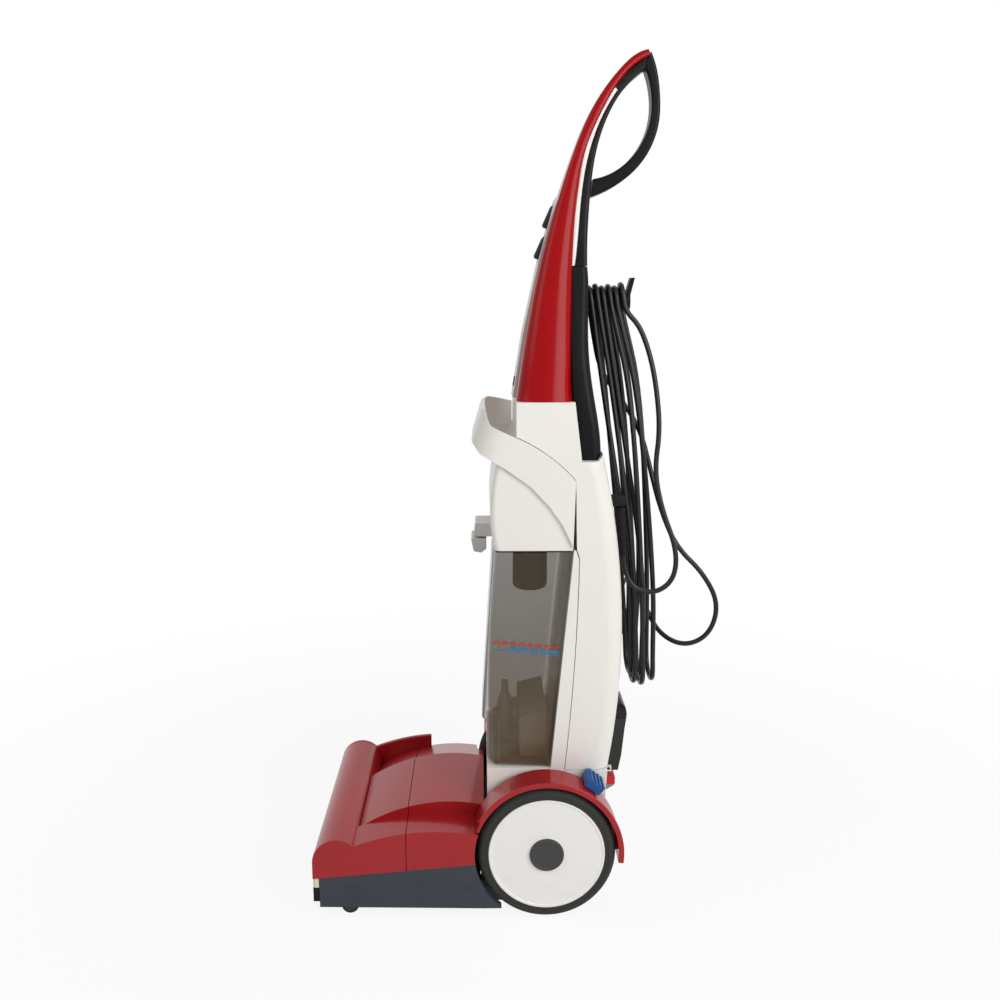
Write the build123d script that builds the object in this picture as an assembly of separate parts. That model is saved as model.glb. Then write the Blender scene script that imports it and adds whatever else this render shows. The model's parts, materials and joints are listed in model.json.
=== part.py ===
"""Upright floor scrubber: a wheeled base with a brush, and a tank and handle that tilt back on the axle."""

import math
import os

from build123d import *

# Millimetres, +Z up, front towards -X, left side towards -Y.
# Outlines are drawn with X from the wheel axle; each piece is moved to the frame when it is written.

# Overall sizes
BASE_WIDTH = 330.0
FRONT_REACH = 320.0
REAR_REACH = 152.0
PIVOT_ROOM = 10.0
SEAM = 1.0
FAR = 500.0
MOVE_GAP = 0.6
RUN_GAP = 0.05

# Wheels and axle
WHEEL_D = 189.0
TYRE_WIDTH = 31.0
TYRE_DEPTH = 14.5
TYRE_ROUND = 7.0
DISC_PLATE = 4.0
CAP_R = 23.5
CAP_PROUD = 3.0
AXLE_R = 6.0
HUB_R = 15.0

# Fenders and the arms that carry the axle
FENDER_GAP = 4.0
FENDER_T = 4.5
FENDER_LIP = 3.0
FENDER_FROM = -7.0
FENDER_TO = 160.0
RIGHT_FENDER_TO = 146.0
WEB_T = 3.0
WHEEL_SIDE_GAP = 2.0
ARM_T = 12.0
ARM_BOSS_R = 20.0
ARM_TOE_X = -52.0
ARM_TOE_Z = 5.0
SIDE_TOE_X = -62.0
SIDE_TOE_T = 12.0

# Pivot drum of the upright
DRUM_R = 82.0
DRUM_WALL = 4.0
BASE_REAR_GAP = 4.0
COVER_REAR_GAP = 1.8
BUSH_R = 9.0
BUSH_FLANGE_R = 13.0
BUSH_FLANGE_T = 2.5
VAC_R = 50.0
VAC_HALF = 62.0
VAC_WEB_Y = 27.0

# Base covers
COVER_T = 3.0
JOINT_FRONT_Z = 63.0
JOINT_REAR_Z = 83.0
HUMP_R = 33.0
HUMP_Z = 87.0
ARCH_SHAPE = ((0.765, 110.0), (0.3291, 131.0), (0.0, 123.0))
BONNET_SHAPE = ((0.7436, 110.0), (0.4444, 141.0), (0.0, 142.0))
RISER_Y = -110.0
CREASE_Y = 50.0
CREASE_STEP = 4.0
RIGHT_FALL = 0.27
SPLIT_SHARE = 0.453
PLATE_T = 7.0
PLATE_SHARE = 0.3675

# Chassis
CHASSIS_T = 4.0
LIP_DEPTH = 9.0
LIP_Z = (28.0, 49.0)
BOTTOM_FRONT_Z = 21.0
BOTTOM_REAR_Z = 16.5
DECK_Z = 60.0
DECK_T = 4.0

# Brush, its motor and its belt
BRUSH_SHARE = 0.5043
BRUSH_R_SHARE = 0.1752
BRUSH_LIFT = 2.0
CORE_R = 20.0
CORE_WALL = 6.0
BRUSH_SHAFT_R = 5.0
TUNNEL_GAP = 6.0
BELT_BAY = 19.0
BAY_RUN = 5.0
BELT_W = 12.0
BELT_T = 2.5
BELT_GAP = 0.15
PULLEY_W = 14.0
BRUSH_PULLEY_SHARE = 0.439
BELT_RATIO = 2.0
BAY_FLOOR_T = 3.0
BAY_FLOOR_GAP = 1.5
MOTOR_SHARE = 0.1838
MOTOR_R_SHARE = 0.1197
MOTOR_LENGTH = 156.0
MOTOR_SHAFT_R = 4.0

# Squeegee, rollers and spray bar
SLOT_SHARE = 0.265
SLOT_WIDTH_SHARE = 0.1239
HOLDER_H = 20.0
BLADE_T = 3.5
BLADE_SEAT = 8.0
BLADE_FOOT_Z = 5.0
ROLLER_R = 12.0
ROLLER_W = 20.0
ROLLER_SHARE = 0.7949
ROLLER_INSET = 27.0
ROLLER_PIN_R = 3.0
SPRAY_R = 5.0
SPRAY_SHARE = 0.8462
SPRAY_Z = 78.0
SPRAY_SHORT = 70.0
SPRAY_POST_INSET = 69.0
SPRAY_POST_T = 8.0

# Foot pedals
PEDAL_GAP = 1.5
PEDAL_H = 12.0
PEDAL_FROM = 47.0
PEDAL_TO = 60.0
PEDAL_ARM_T = 5.0
PEDAL_RIBS = 4
RELEASE_PIVOT = (91.0, 116.0)
RELEASE_PIN_R = 3.0
RELEASE_HALF = 18.0

# Recovery tank
TANK_SIDE = 2.0
TANK_T = 3.0
TANK_TOP_Z = 504.0
TANK_FRONT = ((-70.0, 504.0), (-78.5, 370.0), (-81.0, 197.0))
TANK_REAR_FOOT = (7.0, 193.0)
TANK_REAR_TOP = (36.0, 504.0)
TANK_CORNER = 16.0
TANK_EDGE = 9.0
BEAD = (-66.0, 197.0)
BEAD_R = 5.0
BEAD_SHORT = 12.0
SEAT_FRONT_DROP = 1.8
BULGE_HALF = 48.0
BULGE = ((-66.0, 498.0), (-73.0, 490.0), (-88.0, 248.0), (-82.0, 240.0), (-70.0, 240.0))
SEAT_GAP = 0.3
SEAL_T = 2.0
SEAL_W = 6.0

# Lid, carry loop and latch
LID_T = 3.0
LID_TOP = ((38.5, 602.0), (5.0, 633.5), (-41.0, 660.0))
LID_BROW = (-66.0, 628.0)
LID_CHIN_X = -76.0
LOOP_T = 5.0
LOOP_LEAN = 0.30
LOOP_FRONT_X = -100.0
LOOP_FRONT_Z = 655.0
LOOP_CORNER = 42.0
LATCH_PIN = (-93.0, 519.0)
LATCH_PIN_R = 2.5
LATCH_HALF = 27.0
LATCH_NOTCH = 14.0
FLOAT_X = -18.0
CAGE_R = 25.0
CAGE_H = 78.0
CAGE_T = 2.5
FLOAT_R = 15.0

# Rear housing and neck
HOUSING_T = 3.5
HOUSING_EDGE = 24.0
HOUSING_REAR = ((91.0, 191.0), (106.5, 345.0), (76.0, 636.0))
SEAM_LINE = ((27.0, 190.0), (40.5, 370.0), (44.0, 495.0))
SEAM_TOP = (40.0, 507.0)
NECK_FRONT_X = -41.0
NECK_TOP_Z = 706.0
NECK_TAPER_Z = 640.0
NECK_REAR_X = 37.0
COVER_LEDGE = ((46.0, 628.0), (68.0, 628.0))
HOUSING_EDGE_FROM = 85.0
SOLUTION_INSET = 22.0
NECK_DRAW = 12.0
SHELF_Z = 330.0
FILTER_HALF = 40.0
FILTER_TOP_Z = 257.0
FILTER_SHOULDER = 18.0
FILTER_T = 3.0
FILTER_HINGE = (97.0, 165.0)
FILTER_FOOT_Z = 160.0
FILTER_PIN_R = 2.5
FILTER_LUG_T = 5.0
FILTER_RELIEF_X = 95.0

# Handle: front and rear points of each section, its width as a share of the neck's, its corner radius
RED_STATIONS = (
    ((-41.0, 706.0), (37.0, 706.0), 1.000, 24.0),
    ((-34.5, 750.0), (36.0, 750.0), 0.908, 22.0),
    ((-27.0, 795.0), (35.5, 795.0), 0.815, 20.0),
    ((-7.0, 892.0), (35.5, 890.0), 0.609, 14.0),
    ((17.0, 976.0), (41.0, 971.0), 0.435, 8.0),
    ((37.0, 1035.0), (51.0, 1029.0), 0.315, 5.0),
    ((66.0, 1098.0), (77.0, 1091.0), 0.239, 3.5),
    ((97.0, 1139.0), (103.0, 1131.0), 0.201, 3.0),
    ((120.0, 1158.5), (125.5, 1150.0), 0.176, 2.5),
    ((134.0, 1163.5), (137.5, 1155.5), 0.163, 2.0),
)
RED_CROWN = 0.155
STRIP_STATIONS = (
    ((30.0, 884.0), (38.0, 884.0), 0.516, 3.0),
    ((33.0, 930.0), (42.6, 928.0), 0.446, 3.0),
    ((42.0, 988.0), (47.8, 985.0), 0.359, 2.5),
    ((50.0, 1034.0), (56.6, 1031.0), 0.283, 2.5),
    ((64.0, 1076.0), (71.0, 1072.0), 0.228, 2.0),
    ((88.0, 1117.0), (94.0, 1112.0), 0.185, 1.5),
)
SPINE_STATIONS = (
    ((34.0, 884.0), (55.0, 884.0), 0.500, 5.0),
    ((38.0, 930.0), (55.5, 928.0), 0.424, 5.0),
    ((45.0, 988.0), (59.5, 985.0), 0.326, 4.0),
    ((53.0, 1034.0), (66.0, 1030.0), 0.250, 3.0),
    ((66.0, 1076.0), (78.0, 1070.0), 0.201, 3.0),
    ((88.0, 1117.0), (99.0, 1109.0), 0.168, 2.5),
    ((113.0, 1141.0), (120.0, 1131.0), 0.152, 2.0),
    ((129.0, 1153.5), (139.0, 1145.5), 0.145, 2.0),
)
COVER_STATIONS = (
    ((40.0, 628.0), (73.0, 628.0), 0.957, 11.0),
    ((34.0, 690.0), (67.5, 690.0), 0.924, 12.0),
    ((30.0, 740.0), (59.5, 740.0), 0.859, 12.0),
    ((28.0, 800.0), (56.0, 800.0), 0.717, 11.0),
    ((28.0, 883.0), (55.0, 883.0), 0.522, 8.0),
)
SHELL_T = 3.0

# Grip loop
GRIP_SHARE = 0.163
GRIP_ROUND = 4.0
GRIP_T = 12.0
GRIP_WAIST_Z = 1088.0

# Control panel with its switches and button
PANEL_SHARE = 0.37
PANEL_T = 3.5
PANEL_SINK = 7.0
PANEL_LINE = ((-41.0, 707.0), (-27.0, 795.0), (-6.0, 892.0), (16.5, 974.0))
SWITCH_HALF = 9.0
SWITCH_LONG = 32.0
SWITCH_Z = (908.0, 949.0)
SWITCH_PROUD = 7.5
SWITCH_SINK = 4.0
SWITCH_PIVOT_OUT = 2.0
SWITCH_PIN_R = 1.5
SWITCH_PIN_LONG = 2.0
BUTTON_R = 7.0
BUTTON_Z = 727.0
BUTTON_PROUD = 1.5

# Cord, its hook and its hank
CORD_R = 3.6
CORD_GAP = 0.4
HOOK_R = 13.0
HOOK_Z = 837.0
HOOK_REACH = 118.0
HOOK_TIP_T = 6.0
HOOK_TIP_Z = 869.0
LOOPS = 6
LOOP_PITCH = 8.8
TOP_LEAN = 0.15
FOOT_LEAN = 0.04
FIRST_LOOP_X = 107.8
HANK_FOOT_X = 150.0
HANK_FOOT_PITCH = 6.0
HANK_FOOT_Z = (320.0, 324.0, 322.0, 325.0, 331.0)
HANK_FOOT_HALF = (30.0, 40.0, 26.0, 38.0, 31.0)
GLAND = (104.0, -50.0, 566.0)
GLAND_HALF = 7.5
BOOT_FOOT = (111.0, -50.0, 486.0)
LEAD_ROUTE = (
    (130.0, -53.0, 437.0),
    (160.0, -55.0, 434.0),
    (183.0, -53.0, 455.0),
    (182.0, -49.0, 496.0),
    (160.0, -44.0, 552.0),
    (149.0, -40.0, 606.0),
    (153.0, -36.0, 662.0),
    (139.0, -30.0, 722.0),
    (124.0, -21.0, 764.0),
)
TAIL_ROUTE = (
    (82.0, 30.0, 740.0),
    (114.0, 47.0, 700.0),
    (143.0, 36.0, 655.0),
    (154.0, 8.0, 604.0),
    (168.0, -8.0, 546.0),
    (192.0, -12.0, 490.0),
    (232.0, -12.0, 452.0),
    (258.0, -10.0, 404.0),
    (247.0, -5.0, 355.0),
    (212.0, 5.0, 334.0),
    (177.0, 24.0, 348.0),
    (160.0, 50.0, 382.0),
    (152.0, 82.0, 410.0),
    (138.0, 114.0, 412.0),
    (133.0, 130.0, 388.0),
)
PLUG_R = 17.0
PLUG_LENGTH = 44.0
PLUG_TOP = (133.0, 130.0, 362.0)
PIN_R = 2.4
PIN_LENGTH = 19.0
PIN_SPACING = 19.0

# Sizes that follow from the above
AXLE_X = (FRONT_REACH - REAR_REACH) / 2
AXLE_Z = WHEEL_D / 2
HALF = BASE_WIDTH / 2
WHEEL_OUT = HALF - CAP_PROUD
WHEEL_IN = WHEEL_OUT - TYRE_WIDTH
WEB_OUT = WHEEL_IN - WHEEL_SIDE_GAP
ARM_OUT = WEB_OUT - WEB_T
ARM_IN = ARM_OUT - ARM_T
UP_HALF = ARM_IN - PIVOT_ROOM
TANK_HALF = UP_HALF - TANK_SIDE
NECK_HALF = UP_HALF - NECK_DRAW
PANEL_HALF = NECK_HALF * PANEL_SHARE
GRIP_WIDTH = 2 * NECK_HALF * GRIP_SHARE
ROLLER_Y = HALF - ROLLER_INSET
SPRAY_LENGTH = BASE_WIDTH - SPRAY_SHORT
SPRAY_POST_Y = HALF - SPRAY_POST_INSET
SOLUTION_HALF = UP_HALF - SOLUTION_INSET
RIM_R = WHEEL_D / 2 - TYRE_DEPTH
FENDER_R = WHEEL_D / 2 + FENDER_GAP
REAR_X = -DRUM_R - BASE_REAR_GAP
COVER_REAR_X = -DRUM_R - COVER_REAR_GAP
BASE_LENGTH = FRONT_REACH + REAR_X
ARCH = [(REAR_X - share * BASE_LENGTH, z) for share, z in ARCH_SHAPE[:2]]
ARCH.append((COVER_REAR_X, ARCH_SHAPE[2][1]))
BONNET = [(REAR_X - share * BASE_LENGTH, z) for share, z in BONNET_SHAPE[:2]]
BONNET.append((COVER_REAR_X, BONNET_SHAPE[2][1]))
SPLIT_X = REAR_X - SPLIT_SHARE * BASE_LENGTH
PLATE_REAR_X = REAR_X - PLATE_SHARE * BASE_LENGTH
BRUSH_X = REAR_X - BRUSH_SHARE * BASE_LENGTH
BRUSH_R = BRUSH_R_SHARE * BASE_LENGTH
BRUSH_Z = BRUSH_R + BRUSH_LIFT
BRUSH_PULLEY_R = BRUSH_R * BRUSH_PULLEY_SHARE
MOTOR_PULLEY_R = BRUSH_PULLEY_R / BELT_RATIO
BAY_FLOOR_Z = BRUSH_Z - BRUSH_PULLEY_R - BELT_T - BAY_FLOOR_GAP
MOTOR_X = REAR_X - MOTOR_SHARE * BASE_LENGTH
MOTOR_R = MOTOR_R_SHARE * BASE_LENGTH
MOTOR_Z = DECK_Z + MOTOR_R
SLOT_FRONT_X = REAR_X - SLOT_SHARE * BASE_LENGTH
SLOT_WIDTH = SLOT_WIDTH_SHARE * BASE_LENGTH
ROLLER_X = REAR_X - ROLLER_SHARE * BASE_LENGTH
SPRAY_X = REAR_X - SPRAY_SHARE * BASE_LENGTH
BAY_FRONT_X = BRUSH_X - BRUSH_R - BAY_RUN
BAY_IN = -HALF + CHASSIS_T + BELT_BAY
CHASSIS_RIGHT = HALF - PLATE_T - MOVE_GAP
LID_HALF = UP_HALF - LOOP_T
LID_Z = TANK_TOP_Z + SEAL_T


def prism(face, y0, y1):
    """Solid between two Y planes from a face drawn with X and Z."""
    return extrude(Plane.XZ.offset(-y0) * face, amount=y1 - y0, dir=(0, 1, 0))


def block(x0, x1, y0, y1, z0, z1):
    return Pos((x0 + x1) / 2, (y0 + y1) / 2, (z0 + z1) / 2) * Box(x1 - x0, y1 - y0, z1 - z0)


def rod(radius, y0, y1, x=0.0, z=AXLE_Z):
    """Cylinder along Y."""
    return Pos(x, (y0 + y1) / 2, z) * Rot(90, 0, 0) * Cylinder(radius, y1 - y0)


def poly(*points):
    return make_face(Polyline(*points, close=True))


def sector(r0, r1, start, end):
    """Ring segment round the axle, angles from +X towards +Z."""
    outer = CenterArc((0, AXLE_Z), r1, start, end - start)
    inner = CenterArc((0, AXLE_Z), r0, start, end - start)
    return make_face([outer, inner, Line(outer @ 0, inner @ 0), Line(outer @ 1, inner @ 1)])


def under_arc(three, left_z, right_x):
    """Face below an arc through three points, down to left_z."""
    a, b, c = three
    arc = ThreePointArc(a, b, c)
    return make_face([arc, Polyline(c, (right_x, left_z), (a[0], left_z), a)])


def lowered(three, drop, back=0.0):
    return [(x - back * (i == 2), z - drop) for i, (x, z) in enumerate(three)]


def shifted(points, dx, dz):
    return [(x + dx, z + dz) for x, z in points]


def both_sides(left):
    return left, mirror(left, about=Plane.XZ)


def on_side(part, half, low_z=-1e9, high_z=1e9):
    """Edges that lie in the two side planes."""
    edges = [e for e in part.edges() if abs(abs(e.center().Y) - half) < 1e-3]
    return ShapeList(e for e in edges if low_z < e.center().Z < high_z)


def section(front, rear, width, corner, crown):
    """Rounded section across the handle, from its front point to its rear one, its sides crowned outwards."""
    dx, dz = rear[0] - front[0], rear[1] - front[1]
    long = math.hypot(dx, dz)
    plane = Plane(
        origin=((front[0] + rear[0]) / 2, 0, (front[1] + rear[1]) / 2),
        x_dir=(dx / long, 0, dz / long),
        z_dir=(-dz / long, 0, dx / long),
    )
    if not crown:
        return plane * RectangleRounded(long, width, corner)
    reach, half = long / 2, width / 2
    side = half - crown * long
    edges = [
        Line((-reach, -side), (-reach, side)),
        ThreePointArc((-reach, side), (0, half), (reach, side)),
        Line((reach, side), (reach, -side)),
        ThreePointArc((reach, -side), (0, -half), (-reach, -side)),
    ]
    face = make_face(edges)
    return plane * fillet(face.vertices(), corner)


def horn(stations, inset=0.0, crown=0.0):
    faces = []
    for front, rear, share, corner in stations:
        width = share * 2 * NECK_HALF
        dx, dz = rear[0] - front[0], rear[1] - front[1]
        long = math.hypot(dx, dz)
        step = (dx / long * inset, dz / long * inset)
        near = (front[0] + step[0], front[1] + step[1])
        far = (rear[0] - step[0], rear[1] - step[1])
        faces.append(section(near, far, width - 2 * inset, max(corner - inset, 0.8), crown))
    return loft(faces)


# Wheels
def wheel():
    tyre = rod(WHEEL_D / 2, -WHEEL_OUT, -WHEEL_IN) - rod(RIM_R, -WHEEL_OUT, -WHEEL_IN)
    tyre = fillet(tyre.edges().filter_by(GeomType.CIRCLE).sort_by(SortBy.RADIUS)[-2:], TYRE_ROUND)
    rim = rod(RIM_R, -WHEEL_OUT, -WHEEL_IN) - rod(RIM_R - DISC_PLATE, -WHEEL_OUT, -WHEEL_IN)
    plate = rod(RIM_R, -WHEEL_OUT, -WHEEL_OUT + DISC_PLATE)
    hub = rod(HUB_R, -WHEEL_OUT, -WHEEL_IN)
    disc = rim + plate + hub - rod(AXLE_R + RUN_GAP, -HALF, -WHEEL_IN)
    cap = rod(CAP_R, -HALF, -WHEEL_OUT)
    cap = fillet(cap.faces().sort_by(Axis.Y)[0].edges(), CAP_PROUD * 0.6)
    return tyre, disc, cap


def fender(end):
    """Fender of the left wheel, from its rear lip up and over to an end angle."""
    arc = prism(sector(FENDER_R, FENDER_R + FENDER_T, FENDER_FROM, end), -HALF, -ARM_IN)
    lip = prism(
        sector(FENDER_R, FENDER_R + FENDER_T + FENDER_LIP, FENDER_FROM, end - 8),
        -HALF,
        -HALF + FENDER_T,
    )
    web = prism(sector(ARM_BOSS_R + 2, FENDER_R + 1, FENDER_FROM, end), -WEB_OUT, -ARM_OUT)
    return arc + lip + web


# Base
def joint_z(x):
    return JOINT_FRONT_Z + (JOINT_REAR_Z - JOINT_FRONT_Z) * (x + FRONT_REACH) / (REAR_X + FRONT_REACH)


def cover_block(t):
    """Whole top of the base as one block, every outer face moved in by t."""
    hump_x = -FRONT_REACH + HUMP_R
    hump = rod(HUMP_R - t, -HALF + t, HALF - t, hump_x, HUMP_Z)
    front = block(-FRONT_REACH + t, hump_x + HUMP_R, -HALF + t, HALF - t, 30, HUMP_Z)
    arch = prism(under_arc(lowered(ARCH, t, t), 30, REAR_X - t), -HALF + t, RISER_Y + 2 * t)
    bonnet = prism(under_arc(lowered(BONNET, t, t), 30, REAR_X - t), RISER_Y + t, CREASE_Y - t)
    fall = (0, 1, -RIGHT_FALL)
    run = HALF - t - (CREASE_Y - 2 * t)
    right_face = Plane.XZ.offset(2 * t - CREASE_Y) * under_arc(
        lowered(BONNET, t * 1.05 + CREASE_STEP, t), 10, REAR_X - t
    )
    right = extrude(right_face, amount=run * math.hypot(1, RIGHT_FALL), dir=fall)
    return hump + front + arch + bonnet + right


def base_covers():
    solid = cover_block(0)
    above = prism(
        poly(
            (-FRONT_REACH - 9, joint_z(-FRONT_REACH - 9)),
            (REAR_X, joint_z(REAR_X)),
            (REAR_X, FAR),
            (-FRONT_REACH - 9, FAR),
        ),
        -HALF,
        HALF,
    )
    solid = solid & above
    shell = solid - cover_block(COVER_T)
    for side in (-1, 1):
        ends = sorted((side * ARM_OUT, side * (HALF + 1)))
        shell = shell - rod(FENDER_R, *ends)
    shell = shell - block(-FAR, PLATE_REAR_X + MOVE_GAP, CHASSIS_RIGHT, FAR, 0, FAR)
    front = shell & block(-FAR, SPLIT_X - SEAM / 2, -FAR, FAR, 0, FAR)
    rear = shell & block(SPLIT_X + SEAM / 2, 0, -FAR, FAR, 0, FAR)
    return front, rear


def side_plate():
    """Red plate over the right end of the brush."""
    y0, y1 = HALF - PLATE_T, HALF
    outline = rod(HUMP_R, y0, y1, -FRONT_REACH + HUMP_R, HUMP_Z)
    outline = outline + block(-FRONT_REACH, PLATE_REAR_X, y0, y1, BOTTOM_FRONT_Z + 1, HUMP_Z)
    outline = outline + prism(under_arc(ARCH, 40, REAR_X), y0, y1)
    outline = outline & block(-FAR, PLATE_REAR_X, y0, y1, 0, FAR)
    return outline - rod(BRUSH_SHAFT_R + RUN_GAP, y0 - 1, y0 + 4.5, BRUSH_X, BRUSH_Z)


def chassis():
    front_x = -FRONT_REACH + LIP_DEPTH
    outline = poly(
        (front_x, BOTTOM_FRONT_Z),
        (front_x, joint_z(front_x)),
        (REAR_X, joint_z(REAR_X)),
        (REAR_X, BOTTOM_REAR_Z),
    )
    body = prism(outline, -HALF, HALF)
    x0, x1 = front_x + CHASSIS_T * 1.5, REAR_X - CHASSIS_T
    y0, y1 = -HALF + CHASSIS_T, CHASSIS_RIGHT - CHASSIS_T
    body = body - block(x0, x1, y0, y1, DECK_Z, 120) - block(x0, x1, y0, y1, 0, DECK_Z - DECK_T)
    body = body - block(-FAR, PLATE_REAR_X + MOVE_GAP, CHASSIS_RIGHT, FAR, 0, FAR)
    tunnel_r = BRUSH_R + TUNNEL_GAP
    skin = tunnel_r + CHASSIS_T
    tunnel = rod(skin, BAY_IN - CHASSIS_T, y1, BRUSH_X, BRUSH_Z)
    tunnel = tunnel + block(BRUSH_X - skin, BRUSH_X + skin, BAY_IN - CHASSIS_T, y1, 20, BRUSH_Z)
    body = body + (tunnel & block(-FAR, 0, -HALF, HALF, 20, FAR))
    body = body - rod(tunnel_r, BAY_IN, HALF, BRUSH_X, BRUSH_Z)
    body = body - block(BRUSH_X - tunnel_r, BRUSH_X + tunnel_r, BAY_IN, y1, 0, BRUSH_Z)
    bay = (BAY_FRONT_X, x1)
    body = body - block(*bay, y0, BAY_IN - CHASSIS_T, DECK_Z - DECK_T - 1, DECK_Z + 1)
    body = body + block(*bay, BAY_IN - CHASSIS_T, BAY_IN, 19, DECK_Z - DECK_T / 2)
    body = body - rod(tunnel_r, BAY_IN, y1, BRUSH_X, BRUSH_Z)
    body = body + block(*bay, y0 - 1, BAY_IN, BAY_FLOOR_Z - BAY_FLOOR_T, BAY_FLOOR_Z)
    body = body - rod(BRUSH_SHAFT_R + RUN_GAP, BAY_IN - 9, BAY_IN + 9, BRUSH_X, BRUSH_Z)
    for wall_x in (SLOT_FRONT_X - CHASSIS_T, SLOT_FRONT_X + SLOT_WIDTH):
        body = body + block(wall_x, wall_x + CHASSIS_T, BAY_IN - 1, y1 + 1, 20, DECK_Z - DECK_T / 2)
    for side in (-1, 1):
        for edge in (ROLLER_Y - ROLLER_W / 2 - 3.0, ROLLER_Y + ROLLER_W / 2 + 0.5):
            ends = sorted((side * edge, side * (edge + 2.5)))
            body = body + block(ROLLER_X - 7, ROLLER_X + 7, *ends, 8, DECK_Z - DECK_T / 2)
        pin = sorted((side * (ROLLER_Y - ROLLER_W / 2 - 2), side * (ROLLER_Y + ROLLER_W / 2 + 2)))
        body = body + rod(ROLLER_PIN_R, *pin, ROLLER_X, ROLLER_R)
        post = sorted((side * SPRAY_POST_Y, side * (SPRAY_POST_Y + SPRAY_POST_T)))
        body = body + block(SPRAY_X - 8, SPRAY_X + 8, *post, DECK_Z - 1, SPRAY_Z)
        arm_y = sorted((side * ARM_IN, side * ARM_OUT))
        arm_top = ((REAR_X - 2, 80), (0, AXLE_Z + ARM_BOSS_R), (0, AXLE_Z - ARM_BOSS_R))
        arm = poly((REAR_X - 2, ARM_TOE_Z), *arm_top, (ARM_TOE_X, ARM_TOE_Z))
        body = body + prism(arm, *arm_y) + rod(ARM_BOSS_R, *arm_y)
        body = body - rod(AXLE_R, *arm_y)
        toe_y = sorted((side * (HALF - SIDE_TOE_T), side * HALF))
        body = body + block(REAR_X - 2, SIDE_TOE_X, *toe_y, BOTTOM_REAR_Z, DECK_Z)
        body = body - rod(FENDER_R, *sorted((side * ARM_OUT, side * (HALF + 1))))
    return body - rod(SPRAY_R, -SPRAY_LENGTH / 2, SPRAY_LENGTH / 2, SPRAY_X, SPRAY_Z)


def belt_loop(extra):
    ends = [
        Pos(BRUSH_X, BRUSH_Z) * Circle(BRUSH_PULLEY_R + extra),
        Pos(MOTOR_X, MOTOR_Z) * Circle(MOTOR_PULLEY_R + extra),
    ]
    return make_hull(ends[0].edges() + ends[1].edges())


# Upright
def neck_envelope(inset=0.0):
    """Front view of the upright: straight sides that draw in towards the handle."""
    outline = make_face(
        Polyline(
            (-UP_HALF + inset, 0),
            (UP_HALF - inset, 0),
            (UP_HALF - inset, NECK_TAPER_Z),
            (NECK_HALF - inset, NECK_TOP_Z),
            (-NECK_HALF + inset, NECK_TOP_Z),
            (-UP_HALF + inset, NECK_TAPER_Z),
            close=True,
        )
    )
    return extrude(Plane.YZ.offset(-300) * outline, amount=600)


def housing_face():
    seam = shifted(SEAM_LINE, SEAM, SEAM)
    top = shifted(LID_TOP, 0, SEAM)
    corner = (SEAM_TOP[0] + SEAM, SEAM_TOP[1] + SEAM)
    neck = [(NECK_FRONT_X, NECK_TOP_Z), (NECK_REAR_X, NECK_TOP_Z), *COVER_LEDGE]
    return make_face(
        [
            ThreePointArc(*seam),
            Polyline(seam[2], corner, top[0]),
            ThreePointArc(*top),
            Polyline(top[2], *neck, HOUSING_REAR[2]),
            ThreePointArc(*HOUSING_REAR),
            Line(HOUSING_REAR[0], seam[0]),
        ]
    )


def housing_outer():
    body = prism(housing_face(), -UP_HALF, UP_HALF) & neck_envelope()
    rear = [e for e in on_side(body, UP_HALF) if e.center().X > HOUSING_EDGE_FROM]
    return fillet(rear, HOUSING_EDGE)


def rear_housing(outer):
    face = offset(housing_face(), amount=-HOUSING_T)
    inner = prism(face, -UP_HALF, UP_HALF) & neck_envelope(HOUSING_T)
    rear = [e for e in on_side(inner, UP_HALF - HOUSING_T) if e.center().X > HOUSING_EDGE_FROM - HOUSING_T]
    inner = fillet(rear, HOUSING_EDGE - HOUSING_T)
    shelf = inner & block(0, 200, -UP_HALF, UP_HALF, SHELF_Z - 5, SHELF_Z)
    return outer - inner + shelf


def tank_face():
    top, mid, foot = TANK_FRONT
    face = make_face([ThreePointArc(top, mid, foot), Polyline(foot, TANK_REAR_FOOT, TANK_REAR_TOP, top)])
    low = face.vertices().sort_by(Axis.Y)[:2]
    face = fillet(low.sort_by(Axis.X)[0], TANK_CORNER)
    return face


def recovery_tank():
    outer = prism(tank_face(), -TANK_HALF, TANK_HALF)
    outer = fillet(on_side(outer, TANK_HALF, high_z=TANK_TOP_Z - 1), TANK_EDGE)
    bulge = prism(poly(*BULGE), -BULGE_HALF, BULGE_HALF)
    inner_face = offset(tank_face(), amount=-TANK_T)
    inner = prism(inner_face, -TANK_HALF + TANK_T, TANK_HALF - TANK_T)
    inner = fillet(on_side(inner, TANK_HALF - TANK_T, high_z=TANK_TOP_Z - TANK_T - 1), TANK_EDGE - TANK_T)
    mouth = block(
        TANK_FRONT[0][0] + TANK_T + 4,
        TANK_REAR_TOP[0] - TANK_T - 2,
        -TANK_HALF + TANK_EDGE,
        TANK_HALF - TANK_EDGE,
        TANK_TOP_Z - 12,
        TANK_TOP_Z + 5,
    )
    bead = rod(BEAD_R, -TANK_HALF + BEAD_SHORT, TANK_HALF - BEAD_SHORT, *BEAD)
    return outer + bulge + bead - inner - mouth


def lid_face():
    front_foot = (TANK_FRONT[0][0], LID_Z)
    rear_foot = (TANK_REAR_TOP[0], LID_Z)
    brow_mid = (LID_CHIN_X, (LID_Z + LID_BROW[1]) / 2)
    return make_face(
        [
            ThreePointArc(*LID_TOP),
            Line(LID_TOP[2], LID_BROW),
            ThreePointArc(LID_BROW, brow_mid, front_foot),
            Polyline(front_foot, rear_foot, LID_TOP[0]),
        ]
    )


def tank_lid():
    outer = prism(lid_face(), -LID_HALF, LID_HALF)
    front = [e for e in on_side(outer, LID_HALF) if e.center().X < -68]
    outer = fillet(front, 8.0)
    inner = prism(offset(lid_face(), amount=-LID_T), -LID_HALF + LID_T + 4, LID_HALF - LID_T - 4)
    return outer - inner


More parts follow.
